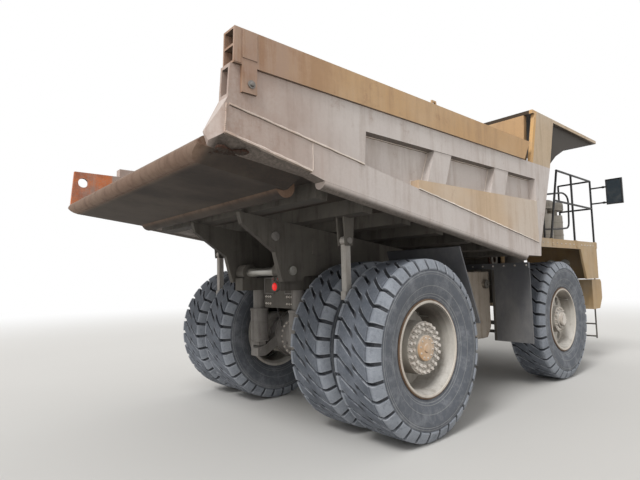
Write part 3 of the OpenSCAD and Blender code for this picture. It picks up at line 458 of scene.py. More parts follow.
def tyreMesh(centre):
    # angle = mix(even place, lug place, weight) + slant shift; section = mix(groove, lug, top)
    section = np.vstack([tyreHalf, tyreHalf[-2::-1]])
    side = np.r_[np.ones(len(tyreHalf)), -np.ones(len(tyreHalf) - 1)]
    columns, count = len(lugColumn), tyreSet["lugs"]
    column = np.arange(columns * count)
    shifted = column[None] + np.where(side < 0, columns // 2, 0)[:, None]
    lugPlace = shifted // columns + lugColumn[shifted % columns] - np.where(side < 0, 0.5, 0)[:, None]
    across = section[:, :1]
    weight = np.clip((across - tyreSet["even"]) / tyreSet["blend"], 0, 1)
    shift = -tyreSet["slant"] * np.clip(across * side[:, None] / tyreSet["straight"], -1, 1)
    angle = ((column / columns)[None] * (1 - weight) + lugPlace * weight + shift) * 2 * math.pi / count
    top = lugTop[shifted % columns]
    y = (section[:, 2:3] + (section[:, :1] - section[:, 2:3]) * top) * side[:, None]
    r = section[:, 3:4] + (section[:, 1:2] - section[:, 3:4]) * top
    points = np.stack([r * np.cos(angle), y, r * np.sin(angle)], -1).reshape(-1, 3)
    faces = outward(points, gridFaces(len(section), len(column), True, True))
    wall = (section[:, 1] < tyreSet["wallTop"])[:, None] + 0 * angle
    # edge marks the lugs' edges, where the tyre's finish paints a highlight
    edge = np.isin(shifted % columns, (0, 8)) * (across > 0.02) * (1 - wall)
    marks = {"lugTop": np.maximum(top, wall), "across": across / tyreSet["bulge"] + 0 * angle,
             "sidewall": wall, "radius": r + 0 * wall, "edge": edge}
    return points + centre, faces, marks


# the rear axle's X, the wheelbase, the hubs' height, and how far out the tyres' middles are, in metres
wheelSet = {"rearX": -1.915, "wheelbase": 4.4, "height": 1.06, "frontY": 1.71, "outerY": 1.89, "innerY": 1.11}
wheelbase, hubHeight = wheelSet["wheelbase"], wheelSet["height"]
sides = ((1, "left"), (-1, "right"))
wheels = {"front_wheel_" + name: (wheelbase, side * wheelSet["frontY"]) for side, name in sides}
for side, name in sides:
    wheels["rear_wheel_" + name] = 0.0, side * wheelSet["outerY"], side * wheelSet["innerY"]


def fromAxle(points):
    # the source's own places: X from the rear axle, in metres
    return np.asarray(points, float) + [wheelSet["rearX"], 0.0, 0.0]


for body, (x, *ys) in wheels.items():
    for i, y in enumerate(ys):
        points, faces, marks = tyreMesh(fromAxle([x, y, hubHeight]))
        name = "tyre_%s_%s" % (body.replace("_wheel", ""), "inner" if i else "outer")
        tyre = addPiece(name, [(points, faces)], "tyre", body, sharp=28.0, marks=marks)
        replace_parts(tyre, body.replace("wheel", "tyres" if body.startswith("rear") else "tyre"))
print("tyres made")

# More mesh helpers: tubes, weld beads, boxes, bolts and rows of them; all places are from the rear axle


def mirrored(shape):
    # y changes its sign, and the faces turn over so that they still look outward
    points, faces = shape
    return points * [1, -1, 1], faces[:, ::-1]


def bothSides(shape):
    # the shape and its mirror image
    return joined([shape, mirrored(shape)])


def bent(corners, bend, steps=6, loop=False):
    # each corner becomes a curve that leaves and meets its two straight runs at the distance bend
    corners = np.asarray(corners, float)
    rows = [] if loop else [corners[:1]]
    t = np.linspace(0, 1, steps)[:, None]
    for i in range(0 if loop else 1, len(corners) if loop else len(corners) - 1):
        here, before, after = corners[i], corners[i - 1], corners[(i + 1) % len(corners)]
        start = here + (before - here) * min(bend / np.linalg.norm(before - here), 0.49)
        stop = here + (after - here) * min(bend / np.linalg.norm(after - here), 0.49)
        rows.append(start * (1 - t) ** 2 + here * 2 * t * (1 - t) + stop * t ** 2)
    return np.vstack(rows + ([] if loop else [corners[-1:]]))


def tube(route, radius, normal=(0, 1, 0), sides=10, loop=False, flat=1.0):
    # rings square to a route that lies roughly across the normal; ends close on their middle
    route = np.asarray(route, float)
    ahead = np.roll(route, -1, 0) - np.roll(route, 1, 0) if loop else np.gradient(route, axis=0)
    ahead /= np.linalg.norm(ahead, axis=1)[:, None]
    across = np.cross(ahead, np.asarray(normal, float))
    across /= np.linalg.norm(across, axis=1)[:, None]
    over = np.cross(across, ahead)
    radius = np.zeros(len(route)) + radius
    if not loop:
        pick = np.r_[0, np.arange(len(route)), len(route) - 1]
        route, across, over, radius = route[pick], across[pick], over[pick], np.r_[0, radius, 0]
    angle = np.arange(sides) * 2 * math.pi / sides
    ring = across[:, None] * np.cos(angle)[:, None] + over[:, None] * np.sin(angle)[:, None] * flat
    points = (route[:, None] + ring * radius[:, None, None]).reshape(-1, 3)
    faces = gridFaces(len(route), sides, loop, True)
    return points, outward(points - points.mean(0), faces)


# lengths of a bead's steps, of its ripples and of its wandering, in metres, and how far the ripples swell
weldSet = {"step": 0.007, "ripple": 0.014, "wander": 0.0012, "swell": 0.22}


def weldBead(first, last, radius=0.009):
    # a straight bead whose radius grows and shrinks with each ripple, and which wanders by a sum of sines
    first, last = fromAxle(first), fromAxle(last)
    length = np.linalg.norm(last - first)
    t = np.linspace(0, 1, max(int(length / weldSet["step"]), 3))
    s = t * length
    route = first + (last - first) * t[:, None]
    wander = np.stack([np.sin(s * 23.0), np.sin(s * 31.0 + 1.0), np.sin(s * 17.0 + 2.0)], -1)
    normal = np.array([0, 1, 0]) if abs((last - first)[1]) < 0.5 * length else np.array([0, 0, 1])
    pulse = 1 + weldSet["swell"] * np.sin(s * 2 * math.pi / weldSet["ripple"]) + 0.12 * np.sin(s * 37.0)
    return tube(route + wander * weldSet["wander"], radius * pulse, normal, 6)


def box(low, high):
    # corner = low + 0 or 1 times the size, along each axis
    low, high = fromAxle(low), fromAxle(high)
    corner = np.array([[i, j, k] for i in (0, 1) for j in (0, 1) for k in (0, 1)], float)
    faces = np.array([[0, 1, 3, 2], [4, 6, 7, 5], [0, 4, 5, 1], [2, 3, 7, 6], [0, 2, 6, 4], [1, 5, 7, 3]])
    return low + corner * (high - low), faces


def slab(corners, y0, y1):
    # a plate with four corners drawn in X and Z, from y0 to y1
    points = fromAxle([[x, y, z] for y in (y0, y1) for x, z in corners])
    faces = np.array([[0, 1, 2, 3], [7, 6, 5, 4], [0, 4, 5, 1], [1, 5, 6, 2], [2, 6, 7, 3], [3, 7, 4, 0]])
    return points, outward(points - points.mean(0), faces)


def aimed(direction):
    # the turn that takes the Y axis to the direction
    y = np.asarray(direction, float) / np.linalg.norm(direction)
    x = np.cross(y, [0.0, 0, 1] if abs(y[2]) < 0.9 else [1.0, 0, 0])
    x /= np.linalg.norm(x)
    return np.stack([x, y, np.cross(x, y)], 1)


def aboutY(angle):
    # the turn by an angle about the Y axis
    c, s = math.cos(angle), math.sin(angle)
    return np.array([[c, 0, -s], [0, 1, 0], [s, 0, c]])


def spun(profile, centre, direction, steps=48):
    # a [height, radius] profile turned about the direction through the centre
    points, faces = turned(profile, steps)
    return points @ aimed(direction).T + fromAxle(centre), faces


def spunRing(profile, centre, direction, steps=48):
    # the same for a ring, whose profile closes on its first place
    return spun(profile + profile[:1], centre, direction, steps)


def collar(inner, outer, half, cut):
    # profile of a ring of the height 2 x half, whose outer edges are cut by [height, radius]
    edge = outer - cut[1]
    return [[-half, inner], [-half, edge], [cut[0] - half, outer], [half - cut[0], outer], [half, edge],
            [half, inner]]


def bolt(size, height):
    # six-sided head with a bevelled top on a round washer, standing on y = 0
    head = turned([[0, 0], [0, size], [height * 0.8, size], [height, size * 0.78], [height, 0]], 6)
    washer = turned([[0, 0], [0, size * 1.35], [height * 0.22, size * 1.3], [height * 0.22, 0]], 12)
    return joined([head, washer])


def boltRow(first, step, count, direction, size, height):
    # place = first + number of the bolt times step
    places = fromAxle(first) + np.arange(count)[:, None] * np.asarray(step, float)
    return repeated(*bolt(size, height), np.repeat(aimed(direction)[None], count, 0), places)


def boltRing(centre, direction, radius, count, size, height, phase=0.0):
    # bolts on a circle square to the direction
    turn = aimed(direction)
    angle = np.arange(count) * 2 * math.pi / count + phase
    around = np.stack([radius * np.cos(angle), 0 * angle, radius * np.sin(angle)], -1)
    return repeated(*bolt(size, height), np.repeat(turn[None], count, 0), around @ turn.T + fromAxle(centre))


forward, backward, upward, leftward = (1, 0, 0), (-1, 0, 0), (0, 0, 1), (0, 1, 0)

# Hubs and rims: rings of bolts, cover, lock rings and valves

# X, distance of the face from the centre line, rings as [radius, count, size, height], cover's profile
hubSet = {
    "rear": dict(x=0.0, face=2.060, rings=[[0.280, 22, 0.025, 0.042], [0.216, 17, 0.024, 0.036]],
                 cover=[[0, 0], [0, 0.152], [0.040, 0.152], [0.046, 0.146], [0.046, 0.055], [0.058, 0.046],
                        [0.058, 0]],
                 small=[0.118, 10, 0.010, 0.012], proud=0.046, paint="hub_cover", rim="outerY", valve=1.78),
    "front": dict(x=wheelbase, face=1.900, rings=[[0.199, 16, 0.015, 0.026]],
                  cover=[[0, 0], [0, 0.128], [0.062, 0.122], [0.076, 0.104], [0.080, 0]],
                  small=[0.085, 6, 0.009, 0.010], proud=0.080, paint="hub_bolt", rim="frontY", valve=1.80),
}
# profiles round the rim, as [height, radius] from the tyre's middle
rimSet = {"lock_ring": [[0.2385, 0.5605], [0.2385, 0.574], [0.252, 0.580], [0.262, 0.572], [0.262, 0.5605]],
          "rim_edge": [[0.2555, 0.528], [0.2555, 0.557], [0.264, 0.560], [0.270, 0.553], [0.268, 0.534]]}


def hubPieces(kind, side):
    # bolts, cover, rings and valve of one hub, spun about its axle's line
    part = hubSet[kind]
    body = "%s_wheel_%s" % (kind, "left" if side > 0 else "right")
    out = np.array([0, side, 0.0])
    centre = np.array([part["x"], 0, hubHeight])
    face = centre + out * part["face"]
    bolts = [boltRing(face, out, *ring) for ring in part["rings"]]
    bolts.append(boltRing(face + out * part["proud"], out, *part["small"], 0.2))
    addPiece("hub_bolts_%s" % body, bolts, "dark_steel", body, "hub_bolt")
    addPiece("hub_cover_%s" % body, [spun(part["cover"], face, out, 40)], "ochre_paint", body, part["paint"])
    for name, profile in rimSet.items():
        ring = spunRing(profile, centre + out * wheelSet[part["rim"]], out, 72)
        addPiece("%s_%s" % (name, body), [ring], "rim_paint", body, name)
    y = part["valve"]
    stem = bent([[0.488, y, 0], [0.455, y, 0], [0.440, y + 0.06, 0], [0.440, y + 0.16, 0]], 0.03)
    stem = fromAxle(stem * [1, side, 1] @ aboutY(0.9).T + centre)
    addPiece("valve_%s" % body, [tube(stem, 0.008, (0.3, 0.1, 1))], "rod_steel", body)


for kind in ("rear", "front"):
    for side in (1, -1):
        hubPieces(kind, side)
print("hubs made")

# Bed: weld beads, the sideboard's strap and pin, patches and the rust under the tail corner

# lengths in metres and slopes in degrees, of the source's own lines
bedSet = {"tail": -2.798, "floorTail": 3.110, "weldStart": 0.088, "weldOver": 0.25, "weldSlope": 9.45,
          "edgeStart": 0.068, "edgeSlope": 12.1, "edgeLength": 0.94, "pocketRear": -1.038, "pocketTop": 3.45,
          "pocketEnd": 3.01, "gussetStart": -0.16, "gussetUnder": 0.07, "gussetRise": 0.0142, "outer": 2.2,
          "inner": 2.05, "boardOuter": 2.23}
tail = bedSet["tail"]


def slope(key):
    # rise over run of an angle in degrees
    return math.tan(math.radians(bedSet[key]))


def weldZ(x):
    # the long upper weld falls at its slope from over the floor's tail
    return bedSet["floorTail"] + bedSet["weldOver"] - slope("weldSlope") * (x - tail - bedSet["weldStart"])


def edgeZ(x):
    # the sharp lower edge falls at its own slope from the floor's tail
    return bedSet["floorTail"] - slope("edgeSlope") * (x - tail - bedSet["edgeStart"])


def gussetZ(x):
    # the gusset panel's top rises slightly with X from under the floor's tail
    rise = bedSet["gussetRise"] * (x - bedSet["gussetStart"])
    return bedSet["floorTail"] - bedSet["gussetUnder"] + rise


def wallBeads(side):
    # every bead of one wall, straight between two places at the same Y
    out, deep = bedSet["outer"] + 0.001, bedSet["inner"] + 0.033
    rear, end, top, gusset = (bedSet[key] for key in ("pocketRear", "pocketEnd", "pocketTop", "gussetStart"))
    low = edgeZ(tail + bedSet["edgeStart"])
    endX = tail + bedSet["edgeStart"] + bedSet["edgeLength"] * math.cos(math.radians(bedSet["edgeSlope"]))
    start = tail + (0.11 if side < 0 else 0.63)
    # Y, then X and Z of the first end, X and Z of the last end, radius
    rows = [
        # the beam's upper weld up to the pocket, then along the gusset panel's foot
        (out, start, weldZ(start), rear - 0.04, weldZ(rear - 0.04), 0.013),
        (out + 0.004, gusset + 0.004, weldZ(gusset), 3.0, weldZ(3.0), 0.011),
        # sharp lower edge near the tail, the tail's slanted edge, and the lower edge's end
        # the lower edge's bead is a painted highlight along the wall's rounded edge
        (out, tail + 0.07, low + 0.004, endX, edgeZ(endX) + 0.004, 0.017),
        (out, tail + 0.066, low, tail + 0.085, weldZ(tail + 0.085), 0.008),
        (out, endX + 0.02, edgeZ(endX) + 0.01, endX + 0.024, weldZ(endX), 0.005),
        # top of the gusset panel, against the wall behind it, and its rear end
        (deep, gusset, gussetZ(gusset) + 0.003, end, gussetZ(end) + 0.003, 0.010),
        (deep, gusset - 0.002, weldZ(gusset), gusset - 0.002, gussetZ(gusset), 0.009),
        # the pocket's rear and upper edges
        (deep, rear - 0.034, weldZ(rear - 0.037) + 0.01, rear, top, 0.009),
        (deep, rear, top - 0.003, end, top - 0.003, 0.010),
    ]
    # both edges of the two leaning posts
    for foot, lean, width in ((0.05, 0.16, 0.38), (1.56, 0.15, 0.41)):
        rows += [(deep, x, gussetZ(x), x + lean, top, 0.009) for x in (foot, foot + width)]
    return [weldBead([x0, side * y, z0], [x1, side * y, z1], radius) for y, x0, z0, x1, z1, radius in rows]


for side, name in sides:
    addPiece("weld_beads_%s" % name, wallBeads(side), "bed_paint", "bed", "weld")

boardY = -bedSet["boardOuter"]
# strap that carries the leg on up to the sideboard's top, and a lapped plate behind it
straps = [slab([[tail + 0.222, 3.775], [tail + 0.372, 3.775], [tail + 0.372, 4.032], [tail + 0.228, 4.032]],
               boardY - 0.007, boardY + 0.001),
          slab([[tail + 0.142, 3.722], [tail + 0.208, 3.722], [tail + 0.214, 4.030], [tail + 0.152, 4.030]],
               boardY - 0.004, boardY + 0.001)]
patch = [[-0.50, 2.24], [-0.34, 2.22], [-0.34, 2.44], [-0.50, 2.46]]
patches = [slab(patch, y, y + 0.013) for y in (-0.662, 0.649)]
addPiece("longeron_patches", patches, body="bed", bevel=0.003)
addPiece("bed_straps", straps, "ochre_paint", "bed", "board_paint", bevel=0.003)

# pin of the sideboard's leg, round caps on the longerons, end caps of the rock ejectors' pins
pin = [[-0.018, 0], [-0.018, 0.019], [0.004, 0.019], [0.004, 0.036], [0.012, 0.036], [0.014, 0.022],
       [0.026, 0.020], [0.030, 0.014], [0.030, 0]]
cap = [[-0.002, 0], [-0.002, 0.062], [0.018, 0.060], [0.022, 0.050], [0.022, 0.020], [0.014, 0.018],
       [0.014, 0]]
small = [[0, 0], [0, 0.040], [0.010, 0.038], [0.012, 0.030], [0.012, 0]]
pins = [spun(pin, [-2.49, boardY, 3.56], (0, -1, 0), 24)]
pins += [spun(cap, [-1.12, side * 0.65, 2.46], (0, side, 0), 32) for side in (-1, 1)]
pins += [spun(small, [-0.70, side * 1.5705, 2.35], (0, side, 0), 24) for side in (1, -1)]
addPiece("bed_pins", pins, body="bed", finish="cast_steel")


crustSet = {"place": [-2.62, 2.06, 2.998], "reach": [0.13, 0.080, 0.012], "size": [0.024, 0.022, 0.018],
            "flakes": 90}


def crustMesh(centre):
    # a flake is a flattened ball whose radius and place are stirred by sines of its own number
    around, over = np.meshgrid(np.arange(8) * 2 * math.pi / 8, np.linspace(-math.pi / 2, math.pi / 2, 6))
    shape = np.stack([np.cos(over) * np.cos(around), np.cos(over) * np.sin(around), np.sin(over)], -1)
    shape = shape.reshape(-1, 3)
    faces = gridFaces(6, 8, ringColumns=True)
    flakes = []
    for i in range(crustSet["flakes"]):
        stir = 1 + 0.28 * np.sin(shape @ [3.1, 4.7, 2.3] + i * 1.7)
        grow = np.array(crustSet["size"]) * (0.7 + 0.5 * math.sin(i * 2.4) ** 2)
        stray = [math.sin(i * 12.9), math.sin(i * 78.2), math.sin(i * 37.7)]
        place = fromAxle(centre) + np.array(crustSet["reach"]) * stray
        points = shape * stir[:, None] * grow + place
        flakes.append((points, outward(points - place, faces)))
    return flakes


for side, name in sides:
    x, y, z = crustSet["place"]
    addPiece("rust_crust_%s" % name, crustMesh([x, side * y, z]), "bed_paint", "bed", "crust")
print("bed trim made")

# Chassis: bolts, collars, pipes along the rails, tail lamps, flap strips, hoist rings

boltRows = [
    # first place from the rear axle, step, count, direction, size, height; all made on both sides
    [[0.62, 0.560, 1.86], [0.16, 0, 0], 3, [0, 1, 0], 0.016, 0.018],
    [[1.20, 0.560, 1.70], [0.18, 0, 0], 9, [0, 1, 0], 0.014, 0.016],
    [[1.20, 0.560, 1.40], [0.18, 0, 0], 2, [0, 1, 0], 0.014, 0.016],
    [[3.30, 0.560, 1.70], [0.16, 0, 0], 5, [0, 1, 0], 0.014, 0.016],
    [[5.20, 0.560, 1.70], [0.16, 0, 0], 5, [0, 1, 0], 0.014, 0.016],
    [[-0.600, 0.20, 1.56], [0, 0.055, 0], 3, [-1, 0, 0], 0.013, 0.015],
    [[-0.600, 0.20, 1.66], [0, 0.055, 0], 3, [-1, 0, 0], 0.013, 0.015],
    [[2.840, 0.72, 2.045], [0, 0.19, 0], 8, [-1, 0, 0], 0.012, 0.014],
    [[2.900, 1.50, 2.045], [0, 0.17, 0], 4, [1, 0, 0], 0.012, 0.014],
    [[6.420, 1.485, 0.62], [0, 0, 0.16], 4, [-1, 0, 0], 0.009, 0.010],
    [[5.50, 1.980, 2.45], [0.16, 0, 0], 6, [0, 1, 0], 0.011, 0.012],
    [[3.50, 1.980, 2.45], [0.20, 0, 0], 9, [0, 1, 0], 0.011, 0.012],
]


def chassisBolts():
    # the rows on both sides, then the rings of bolts
    shapes = [bothSides(boltRow(*row)) for row in boltRows]
    # ring round the axle housing's rear cover
    shapes.append(boltRing([-0.372, 0, hubHeight], backward, 0.232, 18, 0.013, 0.016))
    # caps of the front struts, and the pins at the rear struts' feet
    for side in (1, -1):
        shapes.append(boltRing([wheelbase, side * 1.1, 2.4], upward, 0.130, 8, 0.014, 0.018))
        shapes.append(boltRing([-0.62, side * 0.60, 0.85], (0, side, 0), 0.030, 3, 0.008, 0.010))
    return shapes


addPiece("chassis_bolts", chassisBolts(), finish="hub_bolt")

# rear cover of the axle housing, a flat dome whose flange stands against the round housing, and its plug
cover = [[-0.03, 0], [-0.03, 0.262], [0.012, 0.262], [0.018, 0.255], [0.018, 0.208], [0.034, 0.196],
         [0.062, 0.150], [0.078, 0.085], [0.082, 0]]
plug = [[0, 0], [0, 0.028], [0.016, 0.026], [0.018, 0.014], [0.034, 0.013], [0.034, 0]]
valve = [[0, 0], [0, 0.045], [0.02, 0.045], [0.026, 0.03], [0.06, 0.028], [0.064, 0.02], [0.064, 0]]
collars = [spun(cover, [-0.354, 0, hubHeight], backward), spun(plug, [-0.425, 0.05, 0.98], (-1, 0, -0.2), 6)]
for side in (1, -1):
    # collars of the rear struts, then flanges between the axle housing's steps
    for z, radius in ((1.012, 0.139), (1.285, 0.134), (1.468, 0.139)):
        ring = collar(0.128, radius, 0.014, (0.003, 0.002))
        collars.append(spunRing(ring, [-0.62, side * 0.47, z], upward))
    for y, radius in ((0.42, 0.372), (0.70, 0.268)):
        flange = collar(0.17, radius, 0.022, (0.004, 0.004))
        collars.append(spunRing(flange, [0, side * y, hubHeight], (0, side, 0), 56))
    # filling valve and cap on each front strut
    collars.append(spun(valve, [wheelbase, side * 1.1, 2.4], upward, 20))
addPiece("axle_collars", collars, finish="cast_steel")

# pipes clipped along the outer faces of the rails, and two round the axle's rear
pipeSet = {"y": 0.572, "radius": 0.009, "rearY": [-0.30, 0.30], "rearRadius": 0.010}
pipes, clips = [], []
for z, low in ((1.60, 1.45), (1.64, 1.49)):
    for bend, corners in ((0.12, [[-0.30, z], [0.55, z], [1.05, low], [1.45, low]]),
                          (0.06, [[2.05, low], [2.95, low], [3.05, low + 0.12], [3.9, low + 0.12]])):
        route = bent([[x, pipeSet["y"], height] for x, height in corners], bend)
        pipes.append(bothSides(tube(fromAxle(route), pipeSet["radius"], sides=8)))
for x, z in ((-0.2, 1.62), (0.35, 1.62), (1.25, 1.47), (2.15, 1.47), (2.75, 1.47), (3.2, 1.59), (3.75, 1.59)):
    clips.append(bothSides(box([x, 0.556, z - 0.045], [x + 0.03, 0.584, z + 0.045])))
for y in pipeSet["rearY"]:
    route = bent([[-0.40, y, 1.50], [-0.40, y, 1.40], [-0.335, y, 1.27], [-0.335, y, 1.20]], 0.05)
    pipes.append(tube(fromAxle(route), pipeSet["rearRadius"], sides=8))
addPiece("chassis_pipes", pipes, finish="pipe")
addPiece("pipe_clips", clips, bevel=0.003)

# tail lamp on the right rail's end, where the photo shows it, its rim, and the two small dark lamps over it
lampSet = {"face": -0.980, "tail": [-0.475, 1.815, 0.052],
           "small": [[-0.425, 1.918, 0.018], [-0.525, 1.918, 0.018]]}
y, z, r = lampSet["tail"]
place = [lampSet["face"], y, z]
rims = [spunRing([[0, r], [0, r + 0.018], [0.030, r + 0.014], [0.034, r + 0.008], [0.034, r + 0.0006]],
                 place, backward, 40)]
lens = spun([[0, 0], [0, r], [0.030, r], [0.042, r * 0.9], [0.050, r * 0.6], [0.053, 0]], place, backward, 40)
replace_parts(addPiece("tail_lamp", [lens], "red_lens"), "tail_lamps")
lenses = []
for y, z, r in lampSet["small"]:
    place = [lampSet["face"], y, z]
    rims.append(spunRing([[0, r], [0, r + 0.010], [0.022, r + 0.008], [0.022, r]], place, backward, 32))
    lens = [[0, 0], [0, r], [0.016, r], [0.022, r * 0.8], [0.025, r * 0.4], [0.026, 0]]
    lenses.append(spun(lens, place, backward, 32))
addPiece("tail_lamp_rims", rims)
addPiece("small_tail_lamps", lenses, "red_lens", finish="dark_red")

# raised edges of the two fields on the frame's rear face
edges = []
for y0, y1 in ((0.10, 0.34), (-0.36, -0.16)):
    bars = (([y0, 1.70], [y1, 1.715]), ([y0, 1.925], [y1, 1.94]),
            ([y0, 1.70], [y0 + 0.015, 1.94]), ([y1 - 0.015, 1.70], [y1, 1.94]))
    edges += [box([-0.616, *low], [-0.599, *high]) for low, high in bars]
addPiece("rear_frame_edges", edges, finish="cast_steel", bevel=0.003)

# flap stiffeners: strips along the top and the inner edge of each flap
strips = [bothSides(box([2.8995, 1.43, 2.02], [2.906, 2.07, 2.07])),
          bothSides(box([2.874, 1.43, 0.80], [2.8805, 1.47, 1.98]))]
addPiece("flap_strips", strips, bevel=0.002)

# hoists: gland rings on barrels and stages, and a ring near each barrel's foot
hoistSet = {"low": [1.75, 0.85], "high": [2.30, 2.20], "y": 0.770, "foot": 0.13, "barrelTop": 1.28,
            "stageTop": 1.32}


def hoistRing(side, along, profile):
    # a ring at the distance along the line from the lower pin to the upper one
    low, way = np.array(hoistSet["low"]), np.subtract(hoistSet["high"], hoistSet["low"])
    x, z = low + way * along / np.linalg.norm(way)
    return spunRing(profile, [x, side * hoistSet["y"], z], (way[0], 0, way[1]), 40)


gland = [[0, 0.103], [0, 0.110], [0.006, 0.112], [0.060, 0.112], [0.066, 0.109], [0.070, 0.089]]
footRing = [[0, 0.103], [0, 0.110], [0.030, 0.110], [0.036, 0.103]]
stageGland = [[0, 0.0855], [0.002, 0.0875], [0.026, 0.0875], [0.030, 0.084], [0.031, 0.063]]
for side, name in sides:
    rings = [hoistRing(side, hoistSet["barrelTop"] - 0.07, gland), hoistRing(side, hoistSet["foot"], footRing)]
    addPiece("hoist_rings_%s" % name, rings, body="hoist_barrel_%s" % name)
    ring = hoistRing(side, hoistSet["stageTop"] - 0.03, stageGland)
    addPiece("hoist_stage_rings_%s" % name, [ring], "rod_steel", "hoist_stage_%s" % name)
print("chassis trim made")

# Tanks: weld beads round the ends, caps and gauges

tankSet = {"right": dict(outline=[[1.52, 1.03], [1.64, 0.87], [2.68, 0.87], [2.80, 1.03], [2.80, 1.95],
                                  [1.52, 1.95]], faces=[-1.40, -0.91]),
           "left": dict(outline=[[1.56, 0.95], [2.78, 0.95], [2.78, 1.90], [1.56, 1.90]], faces=[1.35, 0.91])}
beads = []
for part in tankSet.values():
    outline = part["outline"]
    for y in part["faces"]:
        for (x0, z0), (x1, z1) in zip(outline, outline[1:] + outline[:1]):
            beads.append(weldBead([x0, y, z0], [x1, y, z1], 0.008))
addPiece("tank_beads", beads, "tank_paint")
# filler caps of the right and the left tank, and the left one's round filter
caps = [spun([[0, 0], [0, 0.074], [0.020, 0.074], [0.026, 0.066], [0.028, 0.024], [0.046, 0.020], [0.048, 0]],
             [2.65, -1.44, 1.75], (0, -1, 0), 16),
        spun([[0, 0], [0, 0.076], [0.018, 0.076], [0.024, 0.068], [0.024, 0]], [2.45, 1.1, 1.96], upward, 16),
        spun([[0, 0], [0, 0.050], [0.090, 0.050], [0.100, 0.040], [0.100, 0]], [2.05, 1.1, 1.9], upward, 24)]
addPiece("tank_caps", caps)
gauges = [box([2.30, 1.349, 1.40], [2.34, 1.358, 1.66]), box([2.66, 1.349, 1.30], [2.72, 1.356, 1.36])]
addPiece("tank_gauges", gauges, "glass", finish="gauge", bevel=0.004)

# Deck: grab rail, sockets of the handrail posts, pipes of the air cleaners

deckSet = {"top": 2.530, "edge": 1.980, "posts": {-1: [4.132, 5.25, 6.31], 1: [4.98, 6.31]}, "grabY": -1.90,
           "grab": [[3.98, 2.53], [3.98, 3.335], [4.95, 3.475], [5.19, 3.40], [5.135, 2.79], [4.60, 2.735],
                    [3.98, 2.70]], "cleanersX": [4.65, 5.13], "cleanersY": -1.60}
grab = bent([[x, deckSet["grabY"], z] for x, z in deckSet["grab"]], 0.13)
addPiece("grab_rail", [tube(fromAxle(grab), 0.017, sides=14)], "black_tube")
top, edge = deckSet["top"], deckSet["edge"]
sockets = []
for side, xs in deckSet["posts"].items():
    for x in xs:
        for shape in (box([x - 0.045, edge - 0.001, 2.40], [x + 0.045, edge + 0.008, top - 0.002]),
                      box([x - 0.05, 1.895, top - 0.0005], [x + 0.05, edge - 0.002, top + 0.009])):
            sockets.append(shape if side > 0 else mirrored(shape))
addPiece("post_sockets", sockets, "yellow_paint", bevel=0.003)

clamp, y = collar(0.1795, 0.186, 0.014, (0.004, 0.002)), deckSet["cleanersY"]
rib = [[-0.005, 0.1995], [-0.005, 0.203], [0.003, 0.206], [0.005, 0.1995]]
lid = [[0, 0], [0, 0.198], [0.014, 0.190], [0.030, 0.150], [0.038, 0.080], [0.040, 0]]
bands = []
for x in deckSet["cleanersX"]:
    bands += [spunRing(clamp, [x, y, z], upward) for z in (2.66, 2.92)]
    bands += [spunRing(rib, [x, y, z], upward) for z in (3.175, 3.20, 3.225, 3.25)]
    bands.append(spun(lid, [x, y, 3.289], upward))
    # clean air pipe over the deck to the hood
    inlet = 5.42 + (x - 4.65) * 0.5
    run = bent([[x, -1.44, 2.64], [x, -1.10, 2.64], [inlet, -0.75, 2.64], [inlet, -0.395, 2.62]], 0.2, 8)
    bands.append(tube(fromAxle(run), 0.062, upward, 24))
addPiece("cleaner_bands", bands, finish="cleaner")

# Mirrors: rounded frame and glass on the rear face
mirrorSet = {"x": 6.29, "y": [2.25, 2.555], "z": [3.31, 3.84], "clamps": [3.36, 3.69]}
x, (y0, y1), (z0, z1) = mirrorSet["x"], mirrorSet["y"], mirrorSet["z"]
pane = box([x - 0.0015, y0 + 0.022, z0 + 0.022], [x + 0.0005, y1 - 0.022, z1 - 0.022])
y0, y1, z0, z1 = y0 + 0.012, y1 - 0.012, z0 + 0.012, z1 - 0.012
rim = bent([[x - 0.002, y, z] for y, z in ((y0, z0), (y1, z0), (y1, z1), (y0, z1))], 0.04, 8, loop=True)
rims = [bothSides(tube(fromAxle(rim), 0.011, forward, loop=True))]
clamp = [[-0.02, 0.015], [-0.02, 0.024], [0.02, 0.024], [0.02, 0.015]]
rims += [bothSides(spunRing(clamp, [6.31, 2.20, z], leftward, 20)) for z in mirrorSet["clamps"]]
addPiece("mirror_glass", [bothSides(pane)], "glass", finish="mirror_glass")
addPiece("mirror_rims", rims, "black_tube")

# Front: lamp bezels and the exhaust's flanges

bezel = [[0, 0.1005], [0, 0.122], [0.012, 0.124], [0.026, 0.114], [0.028, 0.1005]]
bezels = [bothSides(spunRing(bezel, [6.3405, y, 2.10], forward)) for y in (1.05, 1.35)]
addPiece("headlamp_bezels", bezels)
exhaustSet = {"x": 3.15, "z": 2.17, "half": 0.012, "flanges": [[-1.32, 0.054, 0.150], [-0.70, 0.068, 0.118]]}
x, z, half = exhaustSet["x"], exhaustSet["z"], exhaustSet["half"]
outlet = exhaustSet["flanges"][0][0] - half
flanges = [boltRing([x, outlet, z], (0, -1, 0), 0.132, 8, 0.011, 0.012)]
for y, inner, outer in exhaustSet["flanges"]:
    profile = [[-half, inner], [-half, outer], [half, outer], [half, inner]]
    flanges.append(spunRing(profile, [x, y, z], leftward, 40))
addPiece("exhaust_flanges", flanges, finish="crust")
print("deck and front trim made")

# Cab: cushions and their stand, seals, wiper, handle, dials

seatSet = {"y": 1.0, "crown": 0.30, "pinch": 0.035, "channels": [-0.11, 0.0, 0.11], "channelSpan": 0.23,
           "channelDepth": 0.012, "channelWidth": 0.012}


def power(value, exponent):
    # the value to the exponent, with its sign kept
    return np.sign(value) * np.abs(value) ** exponent


